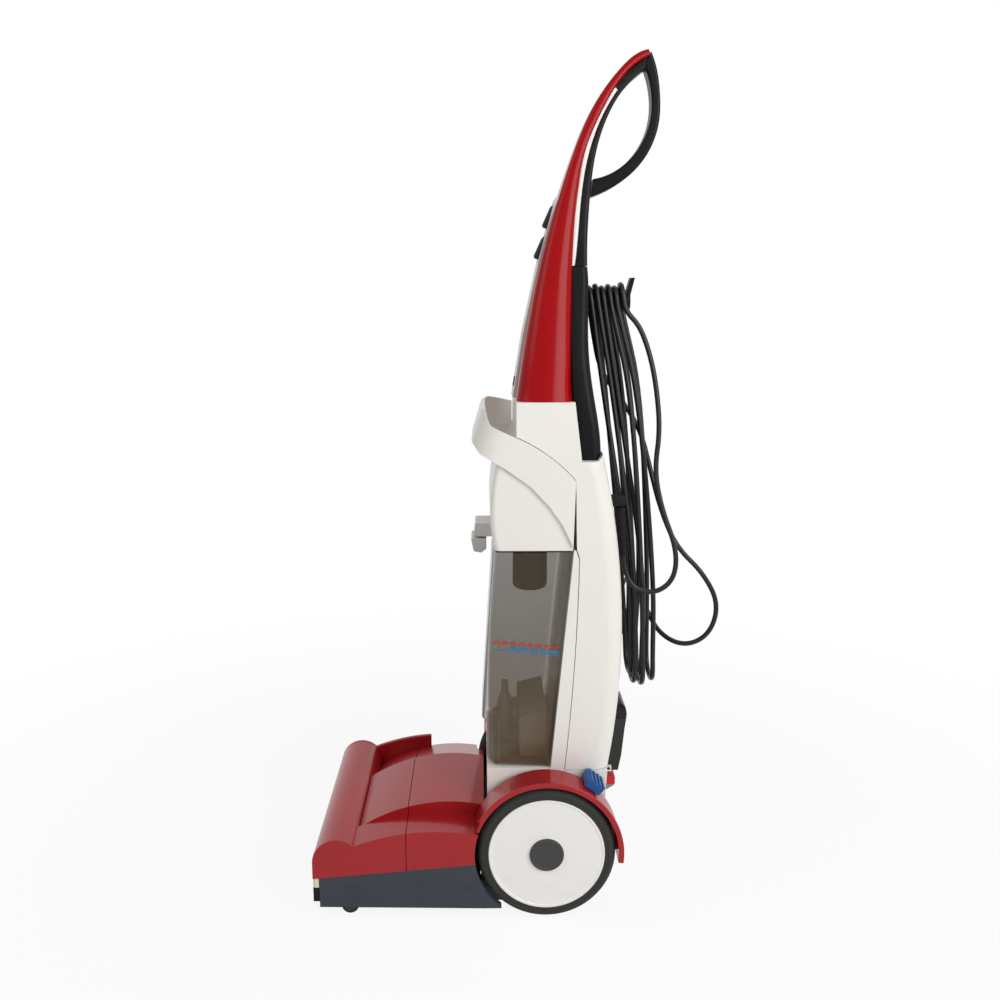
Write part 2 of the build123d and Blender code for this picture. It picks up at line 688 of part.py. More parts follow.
def carry_loop():
    """Band round the front of the lid; the left arm dips below the right one."""
    base_z = 480.0
    front_x = LOOP_FRONT_X - LOOP_LEAN * (LOOP_FRONT_Z - base_z)
    long = 400.0
    outer = RectangleRounded(long, 2 * UP_HALF, LOOP_CORNER)
    inner = RectangleRounded(long - 2 * LOOP_T, 2 * LID_HALF, LOOP_CORNER - LOOP_T)
    ring = Plane.XY.offset(base_z) * (Pos(front_x + long / 2, 0) * (outer - inner))
    lean = math.hypot(1, LOOP_LEAN)
    wall = extrude(ring, amount=250 * lean, dir=(LOOP_LEAN, 0, 1))
    rear_low = (36.0, LID_Z + 6)
    low = [rear_low, (22.0, 541.0), (4.0, 567.0), (-22.0, 595.0), (-56.0, 619.0), (-90.0, 638.0)]
    front = [(-101.0, 652.0), (-106.0, 668.0), (-93.0, 688.0), (-86.5, 695.5)]
    high = [(-78.0, 698.5), (NECK_FRONT_X - SEAM, 690.0), (NECK_FRONT_X - SEAM, LID_TOP[2][1])]
    dip = [(-82.0, 697.0), (-79.0, 684.0), (-75.0, 675.0), (NECK_FRONT_X - SEAM, LID_TOP[2][1])]
    near = make_face([Polyline(LID_TOP[0], *low, *front, *dip, LID_TOP[2]), ThreePointArc(*LID_TOP)])
    far = make_face([Polyline(LID_TOP[0], *low, *front, *high, LID_TOP[2]), ThreePointArc(*LID_TOP)])
    return wall & (prism(near, -UP_HALF - 1, -46) + prism(far, -46, UP_HALF + 1))


def latch():
    x, z = LATCH_PIN
    bracket = block(x - 4, -64, -LATCH_HALF, LATCH_HALF, z - 9, z + 10)
    front_edges = bracket.edges().filter_by(Axis.Y).group_by(Axis.X)[0]
    bracket = fillet(front_edges, 3.0)
    bracket = bracket - block(x - 20, x + 9, -LATCH_NOTCH, LATCH_NOTCH, z - 20, z + 6.5)
    bracket = bracket - prism(lid_face(), -LID_HALF, LID_HALF)
    bracket = bracket + rod(LATCH_PIN_R, -LATCH_NOTCH - 4, LATCH_NOTCH + 4, x, z)
    half = LATCH_NOTCH - MOVE_GAP
    hub = rod(5.0, -half, half, x, z) + block(x - 5, x + 4, -half, half, z - 15, z)
    paddle = prism(
        poly((x - 10, z - 12), (x + 12, z - 12), (x + 12, z - 27), (x + 5, z - 33), (x - 6, z - 31)),
        -LATCH_HALF + 1,
        LATCH_HALF - 1,
    )
    paddle = fillet(paddle.edges().filter_by(Axis.Y), 2.0)
    lever = hub + paddle - rod(LATCH_PIN_R + RUN_GAP, -half - 1, half + 1, x, z)
    return bracket, lever


def cradle():
    foot_gap = (TANK_REAR_FOOT[0] + SEAM, TANK_REAR_FOOT[1] - SEAT_GAP)
    top_gap = (TANK_REAR_TOP[0] + SEAM, SEAM_TOP[1])
    front_top = (TANK_FRONT[2][0], TANK_FRONT[2][1] - SEAT_GAP - SEAT_FRONT_DROP)
    rear_corner = (HOUSING_REAR[0][0] - 3, SEAM_LINE[0][1])
    face = make_face(
        [
            Polyline(SEAM_LINE[2], SEAM_TOP, top_gap, foot_gap, front_top, (-DRUM_R + 1, AXLE_Z)),
            Polyline((-DRUM_R + 1, AXLE_Z), (DRUM_R, AXLE_Z), rear_corner, SEAM_LINE[0]),
            ThreePointArc(*SEAM_LINE),
        ]
    )
    body = prism(face, -UP_HALF, UP_HALF) + rod(DRUM_R, -UP_HALF, UP_HALF)
    wall = DRUM_WALL
    hollow = poly(
        (-DRUM_R + 1 + wall, AXLE_Z),
        (TANK_FRONT[2][0] + wall, BEAD[1] - BEAD_R - wall - 2),
        (HOUSING_REAR[0][0] - 8, SEAM_LINE[0][1] - wall),
        (DRUM_R - wall, AXLE_Z),
    )
    inside = UP_HALF - wall
    body = body - prism(hollow, -inside, inside) - rod(DRUM_R - wall, -inside, inside)
    groove_half = TANK_HALF - BEAD_SHORT + MOVE_GAP
    body = body - rod(BEAD_R + MOVE_GAP / 2, -groove_half, groove_half, *BEAD)
    for y in (-VAC_WEB_Y, VAC_WEB_Y):
        body = body + (rod(DRUM_R - wall + 1, y - 3, y + 3) - rod(VAC_R, y - 4, y + 4))
    for side in (-1, 1):
        body = body - rod(BUSH_R, *sorted((side * (inside - 1), side * (UP_HALF + 1))))
        lug = sorted((side * (RELEASE_HALF + MOVE_GAP), side * (RELEASE_HALF + 6)))
        body = body + block(78, RELEASE_PIVOT[0] + 5, *lug, RELEASE_PIVOT[1] - 6, RELEASE_PIVOT[1] + 8)
        ear = sorted((side * (FILTER_HALF + MOVE_GAP), side * (FILTER_HALF + FILTER_LUG_T + 1)))
        ear_x, ear_z = FILTER_HINGE
        body = body + block(83, ear_x + 4, *ear, ear_z - 4, ear_z + 4)
        body = body - rod(FILTER_PIN_R + RUN_GAP, *ear, *FILTER_HINGE)
    return body + rod(RELEASE_PIN_R, -RELEASE_HALF - 3, RELEASE_HALF + 3, *RELEASE_PIVOT)


def release():
    x, z = RELEASE_PIVOT
    half = RELEASE_HALF
    blade = poly((x - 1, z), (x + 3, z), (x + 18, z + 9), (x + 18, z + 12), (x + 6, z + 12))
    arm = rod(6.0, -half, half, x, z) + prism(blade, -half, half)
    arm = arm - rod(RELEASE_PIN_R + RUN_GAP, -half - 1, half + 1, x, z)
    pedal = block(x + 5, x + 19, -half - 4, half + 4, z + 12, z + 26)
    pedal = fillet(pedal.edges().filter_by(Axis.Y), 2.5)
    return arm, pedal


def squeegee_pedal():
    bottom = FENDER_R + FENDER_T + PEDAL_GAP
    y0, y1 = -HALF + 22.0, -UP_HALF - BUSH_FLANGE_T - MOVE_GAP
    body = prism(sector(bottom, bottom + PEDAL_H, PEDAL_FROM, PEDAL_TO), y0, y1)
    step = (PEDAL_TO - PEDAL_FROM) / PEDAL_RIBS
    for i in range(PEDAL_RIBS):
        start = PEDAL_FROM + step * i
        rib = sector(bottom + PEDAL_H - 1, bottom + PEDAL_H + 2, start, start + step * 0.5)
        body = body + prism(rib, y0, y1)
    arm_y = (y1 - PEDAL_ARM_T, y1)
    middle = (PEDAL_FROM + PEDAL_TO) / 2
    body = body + prism(sector(AXLE_R + 3, bottom + 2, middle - 6, middle + 6), *arm_y)
    body = body + rod(ARM_BOSS_R - 6, *arm_y)
    return body - rod(AXLE_R + RUN_GAP, *arm_y)


def shoulders(inset):
    """Rear view of the exhaust box: straight sides and round shoulders."""
    foot = 100.0
    wide, high = 2 * (FILTER_HALF - inset), FILTER_TOP_Z - foot - inset
    face = Pos(0, foot + high / 2) * RectangleRounded(wide, high, FILTER_SHOULDER - inset)
    return extrude(Plane.YZ * face, amount=FAR)


# Handle
def panel_point(line, z):
    """Point of the panel's base line at height z, with its direction and outward normal."""
    for (x0, z0), (x1, z1) in zip(line, line[1:]):
        if z0 <= z <= z1:
            long = math.hypot(x1 - x0, z1 - z0)
            along = ((x1 - x0) / long, (z1 - z0) / long)
            return (x0 + (x1 - x0) * (z - z0) / (z1 - z0), z), along, (-along[1], along[0])
    return line[0], (0.0, 1.0), (-1.0, 0.0)


def panel_spot(z, along_by, out_by):
    (x, z), along, out = panel_point(PANEL_LINE, z)
    return (x + along[0] * along_by + out[0] * out_by, z + along[1] * along_by + out[1] * out_by)


def panel_face(out, sink):
    front = [(x - out, z) for x, z in PANEL_LINE]
    back = [(x + sink, z) for x, z in PANEL_LINE]
    return poly(*front, *reversed(back))


def switch_face(z, grow):
    top, foot = SWITCH_LONG / 2 + grow, -SWITCH_LONG / 2 - grow
    sink = PANEL_T - SWITCH_SINK - grow * 1.2
    return poly(
        panel_spot(z, top, sink),
        panel_spot(z, top, PANEL_T + 2.5),
        panel_spot(z, foot, PANEL_T + SWITCH_PROUD),
        panel_spot(z, foot, sink),
    )


def switch(z):
    half = SWITCH_HALF
    body = prism(switch_face(z, 0.0), -half, half)
    body = fillet(body.edges().filter_by(Axis.Y), 2.5)
    return body + switch_pin(z, SWITCH_PIN_R)


def switch_pin(z, radius):
    long = SWITCH_HALF + SWITCH_PIN_LONG
    return rod(radius, -long, long, *panel_spot(z, 0.0, SWITCH_PIVOT_OUT))


def button_rod(radius, low, high):
    (x, z), along, out = panel_point(PANEL_LINE, BUTTON_Z)
    plane = Plane(origin=(x + out[0] * low, 0, z + out[1] * low), x_dir=(0, 1, 0), z_dir=(out[0], 0, out[1]))
    return extrude(plane * Circle(radius), amount=high - low)


def grip():
    rear = REAR_REACH
    outer_top, outer_low = (138.0, 1161.0), (110.0, 1001.5)
    inner_top, inner_low = (130.0, 1141.0), (103.0, 1016.0)
    outer_tip, inner_tip = (60.0, 975.0), (64.0, 999.0)
    waist, eye = (rear, GRIP_WAIST_Z), (rear - GRIP_T, GRIP_WAIST_Z + 4)
    shoulder = (rear - 3.5, 1128.0)
    up, down = (0, 1), (0, -1)
    high_arc = TangentArc(waist, shoulder, tangent=up)
    low_arc = TangentArc(waist, outer_low, tangent=down)
    eye_arc = TangentArc(eye, inner_low, tangent=down)
    edges = [
        high_arc,
        TangentArc(shoulder, outer_top, tangent=high_arc % 1),
        low_arc,
        TangentArc(outer_low, outer_tip, tangent=low_arc % 1),
        TangentArc(eye, inner_top, tangent=up),
        eye_arc,
        TangentArc(inner_low, inner_tip, tangent=eye_arc % 1),
        Line(outer_tip, inner_tip),
        Line(outer_top, inner_top),
    ]
    body = prism(make_face(edges), -GRIP_WIDTH / 2, GRIP_WIDTH / 2)
    return fillet(on_side(body, GRIP_WIDTH / 2).filter_by(GeomType.CIRCLE), GRIP_ROUND)


# Cord
def biarc(p0, t0, p1, t1):
    """Two tangent arcs from p0 along t0 to p1 along t1."""
    p0, t0, p1, t1 = Vector(p0), Vector(t0).normalized(), Vector(p1), Vector(t1).normalized()
    v, t = p1 - p0, t0 + t1
    a = 2 * (1 - t0.dot(t1))
    if a < 1e-9:
        d = v.dot(v) / (4 * v.dot(t1))
    else:
        d = (-v.dot(t) + math.sqrt(v.dot(t) ** 2 + a * v.dot(v))) / a
    q0, q1 = p0 + t0 * d, p1 - t1 * d
    return [TangentArc(p0, (q0 + q1) * 0.5, tangent=t0), TangentArc((q0 + q1) * 0.5, p1, tangent=q1 - q0)]


def hank_nodes():
    """Points with directions along the hank: over the hook, down the far side and up the near side."""
    turn = HOOK_R + CORD_R + CORD_GAP
    nodes = []
    for i in range(LOOPS):
        top_x = FIRST_LOOP_X - LOOP_PITCH * i
        if i:
            foot_x = HANK_FOOT_X - HANK_FOOT_PITCH * (i - 1)
            half, foot_z = HANK_FOOT_HALF[i - 1], HANK_FOOT_Z[i - 1]
            nodes.append(((foot_x, half, foot_z), (FOOT_LEAN, 0, -1)))
            nodes.append(((foot_x, -half, foot_z), (-FOOT_LEAN, 0, 1)))
        nodes.append(((top_x, -turn, HOOK_Z), (-TOP_LEAN, 0, 1)))
        nodes.append(((top_x, turn, HOOK_Z), (TOP_LEAN, 0, -1)))
    return nodes


def before(node, long):
    """Point a given length back along a node's direction."""
    return Vector(node[0]) - Vector(node[1]).normalized() * long


def least_gap(edges, step):
    """Least gap of a tube to itself, between points at least ten steps apart along it."""
    points = []
    for edge in edges:
        count = max(2, round(edge.length / step))
        points += [edge @ (i / count) for i in range(count)]
    flat = [(p.X, p.Y, p.Z) for p in points]
    best = 1e9
    for i, a in enumerate(flat):
        for b in flat[i + 10 :]:
            best = min(best, math.dist(a, b))
    return best - 2 * CORD_R


def tube(edges):
    path = Wire(edges)
    profile = Plane(origin=path @ 0, z_dir=path % 0) * Circle(CORD_R)
    return sweep(profile, path=path)


def free_run(points):
    """Straight runs with tangent arcs, each arc as large as its two runs allow."""
    points = [Vector(p) for p in points]
    radii = []
    for a, b, c in zip(points, points[1:], points[2:]):
        u, v = b - a, c - b
        turn = math.acos(max(-1.0, min(1.0, u.normalized().dot(v.normalized()))))
        radii.append(0.45 * min(u.length, v.length) / math.tan(turn / 2))
    runs = [(b - a).length for a, b in zip(points, points[1:])]
    print("bend radii", [round(r) for r in radii], "runs", [round(r) for r in runs])
    return FilletPolyline(*points, radius=radii).edges()


def cord():
    """Lead from the gland to the hook, hank over the hook, tail down to the plug."""
    nodes = hank_nodes()
    hank_edges = []
    for (p0, t0), (p1, t1) in zip(nodes, nodes[1:]):
        hank_edges += biarc(p0, t0, p1, t1)
    boot = (BOOT_FOOT, Vector(BOOT_FOOT) - Vector(GLAND))
    lead_edges = free_run([BOOT_FOOT, before(boot, -25.0), *LEAD_ROUTE, before(nodes[0], 40.0), nodes[0][0]])
    tail_edges = free_run([nodes[-1][0], before(nodes[-1], -40.0), *TAIL_ROUTE, PLUG_TOP])
    print("least gap in the hank", round(least_gap(hank_edges, 3.0), 2))
    made = []
    for name, edges in (("lead", lead_edges), ("hank", hank_edges), ("tail", tail_edges)):
        solid = tube(edges)
        long = sum(e.length for e in edges)
        ratio = solid.volume / (math.pi * CORD_R**2 * long)
        print(name, "length", round(long), "volume to section", round(ratio, 4))
        made.append(solid)
    return made


def plug():
    x, y, top = PLUG_TOP
    neck = Pos(x, y, top - 8) * Cone(PLUG_R - 4, CORD_R + 1.5, 16)
    grip_part = Pos(x, y, top - 16 - (PLUG_LENGTH - 16) / 2) * Cylinder(PLUG_R, PLUG_LENGTH - 16)
    body = neck + grip_part
    for side in (-1, 1):
        pin_z = top - PLUG_LENGTH - PIN_LENGTH / 2
        body = body + Pos(x + side * PIN_SPACING / 2, y, pin_z) * Cylinder(PIN_R, PIN_LENGTH)
    return body


def write(name, part):
    placed = Pos(AXLE_X, 0, 0) * part
    solids = placed.solids()
    whole = solids[0] if len(solids) == 1 else Compound(children=solids)
    export_step(whole, f"parts/{name}.step")


def main():
    os.makedirs("parts", exist_ok=True)
    pieces = {}

    tyre, disc, cap = wheel()
    pieces["left_tyre"], pieces["right_tyre"] = both_sides(tyre)
    pieces["left_wheel_disc"], pieces["right_wheel_disc"] = both_sides(disc)
    pieces["left_hub_cap"], pieces["right_hub_cap"] = both_sides(cap)
    pieces["left_fender"] = fender(FENDER_TO)
    pieces["right_fender"] = mirror(fender(RIGHT_FENDER_TO), about=Plane.XZ)
    stub = rod(AXLE_R, -WHEEL_OUT, -UP_HALF + 6)
    pieces["axle_stubs"] = Compound(children=[s for half in both_sides(stub) for s in half.solids()])

    pieces["front_cover"], pieces["rear_cover"] = base_covers()
    pieces["brush_side_plate"] = side_plate()
    pieces["base_chassis"] = chassis()
    lip_x = (-FRONT_REACH, -FRONT_REACH + LIP_DEPTH)
    pieces["front_splash_strip"] = block(*lip_x, -HALF + 2, CHASSIS_RIGHT, *LIP_Z)
    bumper = block(*lip_x, -HALF + 1, CHASSIS_RIGHT, LIP_Z[1], JOINT_FRONT_Z)
    pieces["front_bumper"] = fillet(bumper.edges().filter_by(Axis.Z).group_by(Axis.X)[0], 4.0)

    shaft_left = rod(BRUSH_SHAFT_R, -HALF + CHASSIS_T + 1, BAY_IN + 4, BRUSH_X, BRUSH_Z)
    shaft_right = rod(BRUSH_SHAFT_R, CHASSIS_RIGHT - 8, HALF - PLATE_T + 4, BRUSH_X, BRUSH_Z)
    core_ends = (BAY_IN + 4, CHASSIS_RIGHT - 7)
    core = rod(CORE_R, *core_ends, BRUSH_X, BRUSH_Z)
    core = core - rod(CORE_R - CORE_WALL, core_ends[0] + 8, core_ends[1] - 8, BRUSH_X, BRUSH_Z)
    pieces["brush_core"] = core + shaft_left + shaft_right
    hair = (core_ends[0] + 3, core_ends[1] - 3)
    pieces["brush_bristles"] = rod(BRUSH_R, *hair, BRUSH_X, BRUSH_Z) - rod(CORE_R, *hair, BRUSH_X, BRUSH_Z)
    belt_mid = BAY_IN - BELT_BAY / 2 - CHASSIS_T / 2
    pulley_y = (belt_mid - PULLEY_W / 2, belt_mid + PULLEY_W / 2)
    pulley = rod(BRUSH_PULLEY_R, *pulley_y, BRUSH_X, BRUSH_Z)
    pieces["brush_pulley"] = pulley - rod(BRUSH_SHAFT_R, *pulley_y, BRUSH_X, BRUSH_Z)
    motor_y = (BAY_IN + 2, BAY_IN + 2 + MOTOR_LENGTH)
    motor = rod(MOTOR_R, *motor_y, MOTOR_X, MOTOR_Z)
    motor = motor + block(MOTOR_X - 18, MOTOR_X + 18, motor_y[0] + 16, motor_y[1] - 10, DECK_Z, DECK_Z + 12)
    bore = rod(MOTOR_SHAFT_R + RUN_GAP, motor_y[0] - 1, motor_y[0] + 36, MOTOR_X, MOTOR_Z)
    pieces["brush_motor"] = motor - bore
    drive = rod(MOTOR_PULLEY_R, *pulley_y, MOTOR_X, MOTOR_Z)
    spindle = rod(MOTOR_SHAFT_R, pulley_y[0], motor_y[0] + 34, MOTOR_X, MOTOR_Z)
    pieces["motor_pulley"] = drive + spindle
    belt_y = (belt_mid - BELT_W / 2, belt_mid + BELT_W / 2)
    pieces["drive_belt"] = prism(belt_loop(BELT_GAP + BELT_T), *belt_y) - prism(belt_loop(BELT_GAP), *belt_y)

    top_z = DECK_Z - DECK_T - 2
    holder_x = (SLOT_FRONT_X + MOVE_GAP, SLOT_FRONT_X + SLOT_WIDTH - MOVE_GAP)
    holder_y = (BAY_IN + 1, CHASSIS_RIGHT - CHASSIS_T - 3)
    holder = block(*holder_x, *holder_y, top_z - HOLDER_H, top_z)
    blade_top = top_z - HOLDER_H + BLADE_SEAT
    blades = [
        block(x, x + BLADE_T, holder_y[0] + 2, holder_y[1] - 2, BLADE_FOOT_Z, blade_top)
        for x in (holder_x[0] + 2, holder_x[1] - 2 - BLADE_T)
    ]
    nozzle = block(holder_x[0] + 9, holder_x[1] - 9, holder_y[0] + 12, holder_y[1] - 12, 0, top_z - 6)
    pieces["squeegee_holder"] = holder - blades[0] - blades[1] - nozzle
    pieces["squeegee_blades"] = Compound(children=[s for blade in blades for s in blade.solids()])
    roller_y = (-ROLLER_Y - ROLLER_W / 2, -ROLLER_Y + ROLLER_W / 2)
    roller = rod(ROLLER_R, *roller_y, ROLLER_X, ROLLER_R)
    roller = fillet(roller.edges().filter_by(GeomType.CIRCLE), 2.0)
    roller = roller - rod(ROLLER_PIN_R + RUN_GAP, *roller_y, ROLLER_X, ROLLER_R)
    pieces["left_front_roller"], pieces["right_front_roller"] = both_sides(roller)
    pieces["spray_bar"] = rod(SPRAY_R, -SPRAY_LENGTH / 2, SPRAY_LENGTH / 2, SPRAY_X, SPRAY_Z)
    pieces["squeegee_pedal"] = squeegee_pedal()

    pieces["tank_cradle"] = cradle()
    bush = rod(BUSH_R, -UP_HALF, -UP_HALF + DRUM_WALL)
    bush = bush + rod(BUSH_FLANGE_R, -UP_HALF - BUSH_FLANGE_T, -UP_HALF)
    bush = bush - rod(AXLE_R + RUN_GAP, -UP_HALF - 9, -UP_HALF + 9)
    pieces["pivot_bushes"] = Compound(children=[s for half in both_sides(bush) for s in half.solids()])
    pieces["vacuum_motor"] = rod(VAC_R, -VAC_HALF, VAC_HALF)
    pieces["release_arm"], pieces["release_pedal"] = release()

    outer = housing_outer()
    pieces["rear_housing"] = rear_housing(outer)
    solution = block(56, 86, -SOLUTION_HALF, SOLUTION_HALF, SHELF_Z, SHELF_Z + 200)
    water = block(59, 83, 3 - SOLUTION_HALF, SOLUTION_HALF - 3, SHELF_Z + 3, SHELF_Z + 197)
    pieces["solution_tank"] = fillet(solution.edges().filter_by(Axis.Z), 8.0) - water
    top = FILTER_TOP_Z
    foot = FILTER_FOOT_Z
    back = ((111.5, foot), (116, foot + 24), (120, 225), (123, top - 10), (122, top - 3), (118, top))
    box = poly((80, foot), *back, (80, top))
    case = prism(box, -FILTER_HALF, FILTER_HALF) & shoulders(0.0)
    room = prism(offset(box, amount=-FILTER_T), -FILTER_HALF, FILTER_HALF) & shoulders(FILTER_T)
    moved = Pos(MOVE_GAP, 0, 0) * prism(housing_face(), -UP_HALF, UP_HALF)
    relief = ((FILTER_RELIEF_X, AXLE_Z), (FILTER_RELIEF_X, 184), (FILTER_RELIEF_X - 2, 200))
    drum_back = prism(poly((0, AXLE_Z), *relief, (0, 200)), -UP_HALF, UP_HALF)
    hinge_half = FILTER_HALF + FILTER_LUG_T
    hinge_rod = rod(FILTER_PIN_R, -hinge_half, hinge_half, *FILTER_HINGE)
    pieces["filter_cover"] = case - room - moved - drum_back + hinge_rod
    pad_half = FILTER_HALF - FILTER_SHOULDER / 2
    pad = block(90, 111, -pad_half, pad_half, 204, top - FILTER_SHOULDER)
    pieces["exhaust_filter"] = pad - prism(housing_face(), -UP_HALF, UP_HALF)

    pieces["recovery_tank"] = recovery_tank()
    seal_x = (TANK_FRONT[0][0] + 1, TANK_REAR_TOP[0] - 1)
    wide = 2 * LID_HALF - 2
    ring = RectangleRounded(seal_x[1] - seal_x[0], wide, 7.0)
    ring = ring - RectangleRounded(seal_x[1] - seal_x[0] - 2 * SEAL_W, wide - 2 * SEAL_W, 3.0)
    pieces["lid_seal"] = Pos(sum(seal_x) / 2, 0, TANK_TOP_Z) * extrude(ring, amount=SEAL_T)
    pieces["tank_lid"] = tank_lid()
    pieces["carry_loop"] = carry_loop()
    pieces["latch_bracket"], pieces["latch_lever"] = latch()
    cage = Pos(FLOAT_X, 0, LID_Z - CAGE_H / 2) * Cylinder(CAGE_R, CAGE_H)
    cage = fillet(cage.faces().sort_by(Axis.Z)[0].edges(), 8.0)
    well = Pos(FLOAT_X, 0, LID_Z - CAGE_H / 2) * Cylinder(CAGE_R - CAGE_T, CAGE_H - 2 * CAGE_T)
    slots = block(FLOAT_X - 40, FLOAT_X + 40, -5, 5, LID_Z - 36, LID_Z - 10)
    pieces["float_cage"] = cage - well - slots
    pieces["float"] = Pos(FLOAT_X, 0, LID_Z - CAGE_H + CAGE_T + FLOAT_R) * Sphere(FLOAT_R)
    pipe = Pos(-54, 0, 225) * Cylinder(11, 60) + Pos(-54, 0, 262) * Cone(11, 5, 14)
    pipe = pipe + Pos(-54, 0, 277) * Cylinder(5, 16)
    hump = prism(poly((-34, 190), (-34, 256), (4, 266), (4, 190)), -70, 70)
    wet = prism(offset(tank_face(), amount=-TANK_T), -TANK_HALF, TANK_HALF)
    pieces["standpipe"] = (pipe + hump + block(-60, 0, -12, 12, 190, 206)) & wet

    red_outer = horn(RED_STATIONS, 0.0, RED_CROWN)
    red = red_outer - horn(RED_STATIONS[:6], SHELL_T, RED_CROWN)
    strip = horn(STRIP_STATIONS) - red_outer
    spine = horn(SPINE_STATIONS) - red_outer - horn(STRIP_STATIONS)
    cover_solid = horn(COVER_STATIONS)
    cover = cover_solid - horn(COVER_STATIONS, SHELL_T) - red_outer - outer
    panel_cut = prism(panel_face(PANEL_T + 40, PANEL_SINK), -PANEL_HALF, PANEL_HALF)
    panel = prism(panel_face(PANEL_T, PANEL_SINK), -PANEL_HALF, PANEL_HALF)
    red = red - panel_cut
    for name, z in zip(("pump_switch", "brush_switch"), SWITCH_Z):
        panel = panel - prism(switch_face(z, 2.0), -SWITCH_HALF - MOVE_GAP / 2, SWITCH_HALF + MOVE_GAP / 2)
        panel = panel - switch_pin(z, SWITCH_PIN_R + RUN_GAP)
        pieces[name] = switch(z)
    panel = panel - button_rod(BUTTON_R + MOVE_GAP / 2, 0.0, 40)
    pieces["reset_button"] = button_rod(BUTTON_R, 2.5, PANEL_T + BUTTON_PROUD)
    pieces["control_panel"] = panel
    pieces["handle_shell"] = red
    pieces["handle_strip"] = strip
    grip_body = grip()
    pieces["grip_loop"] = grip_body - horn(SPINE_STATIONS) - red_outer
    pieces["handle_spine"] = spine
    pieces["handle_cover"] = cover

    bar = Pos((50 + HOOK_REACH) / 2, 0, HOOK_Z) * Rot(0, 90, 0) * Cylinder(HOOK_R, HOOK_REACH - 50)
    tip_foot = ((HOOK_REACH - HOOK_TIP_T, HOOK_Z - 10), (HOOK_REACH, HOOK_Z - 10), (HOOK_REACH, HOOK_Z + 8))
    tip_back = (HOOK_REACH - HOOK_TIP_T, HOOK_Z + 11)
    tip_head = ((HOOK_REACH + 6, HOOK_TIP_Z), (HOOK_REACH, HOOK_TIP_Z), tip_back)
    tip = prism(poly(*tip_foot, *tip_head), -9, 9)
    pieces["cord_hook"] = bar + tip - cover_solid
    gx, gy, gz = GLAND
    nut = block(gx - 20, gx + GLAND_HALF, gy - GLAND_HALF, gy + GLAND_HALF, gz - GLAND_HALF, gz + GLAND_HALF)
    nut = fillet(nut.edges().filter_by(Axis.Y).group_by(Axis.X)[-1], 5.0)
    start, end = Vector(gx, gy, gz), Vector(BOOT_FOOT)
    axis = end - start
    boot = Plane(origin=start + axis * 0.5, z_dir=axis) * Cone(GLAND_HALF - 1.5, CORD_R + 1.6, axis.length)
    pieces["cord_gland"] = nut + boot - outer
    pieces["cord_lead"], pieces["cord_hank"], pieces["cord_tail"] = cord()
    pieces["mains_plug"] = plug()

    for name, part in pieces.items():
        write(name, part)
    return pieces


main()
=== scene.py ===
"""Upright floor scrubber: its finishes, its turned and dressed pieces, its cord and its stage."""

import json
import math

import bmesh
import bpy
from bpy.props import FloatProperty, FloatVectorProperty, IntProperty, PointerProperty
from mathutils import Matrix, Vector

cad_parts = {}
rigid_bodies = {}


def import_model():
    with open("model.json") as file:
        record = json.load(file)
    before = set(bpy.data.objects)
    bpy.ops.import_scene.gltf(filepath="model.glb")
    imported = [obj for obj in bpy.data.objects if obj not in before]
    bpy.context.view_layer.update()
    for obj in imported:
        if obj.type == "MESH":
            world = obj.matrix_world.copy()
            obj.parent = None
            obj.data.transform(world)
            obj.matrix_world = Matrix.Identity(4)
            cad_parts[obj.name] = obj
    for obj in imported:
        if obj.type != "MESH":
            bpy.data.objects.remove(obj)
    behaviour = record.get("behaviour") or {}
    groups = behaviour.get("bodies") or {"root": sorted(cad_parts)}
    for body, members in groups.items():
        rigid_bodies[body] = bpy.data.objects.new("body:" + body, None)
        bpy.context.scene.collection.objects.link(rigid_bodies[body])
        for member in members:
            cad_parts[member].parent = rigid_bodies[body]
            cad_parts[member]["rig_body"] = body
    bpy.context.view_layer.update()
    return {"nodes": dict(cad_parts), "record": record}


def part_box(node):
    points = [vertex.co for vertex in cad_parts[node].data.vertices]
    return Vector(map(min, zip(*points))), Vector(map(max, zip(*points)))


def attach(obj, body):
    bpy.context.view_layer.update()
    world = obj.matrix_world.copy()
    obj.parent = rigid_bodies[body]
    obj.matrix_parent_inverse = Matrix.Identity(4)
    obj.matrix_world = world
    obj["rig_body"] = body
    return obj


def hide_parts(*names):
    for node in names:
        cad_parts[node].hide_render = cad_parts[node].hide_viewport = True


bl_info = {
    "name": "Floor Scrubber",
    "version": (1, 0, 0),
    "blender": (4, 5, 0),
    "location": "3D View > Sidebar > Scrubber",
    "description": "Dresses the packed scrubber with its finishes, wheels, brush, marks and cord",
    "category": "Object",
}

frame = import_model()
NODES = frame["nodes"]
NODE_SLOT = {part["node"]: part["material_slot"] for part in frame["record"]["subparts"]}
FINISHES = {}

# Metres, +Z up, front of the machine towards -X, its left side towards -Y
LEFT = Vector((0.0, -1.0, 0.0))
DOWN = Vector((0.0, 0.0, -1.0))
WHITE = (1.0, 1.0, 1.0, 1.0)

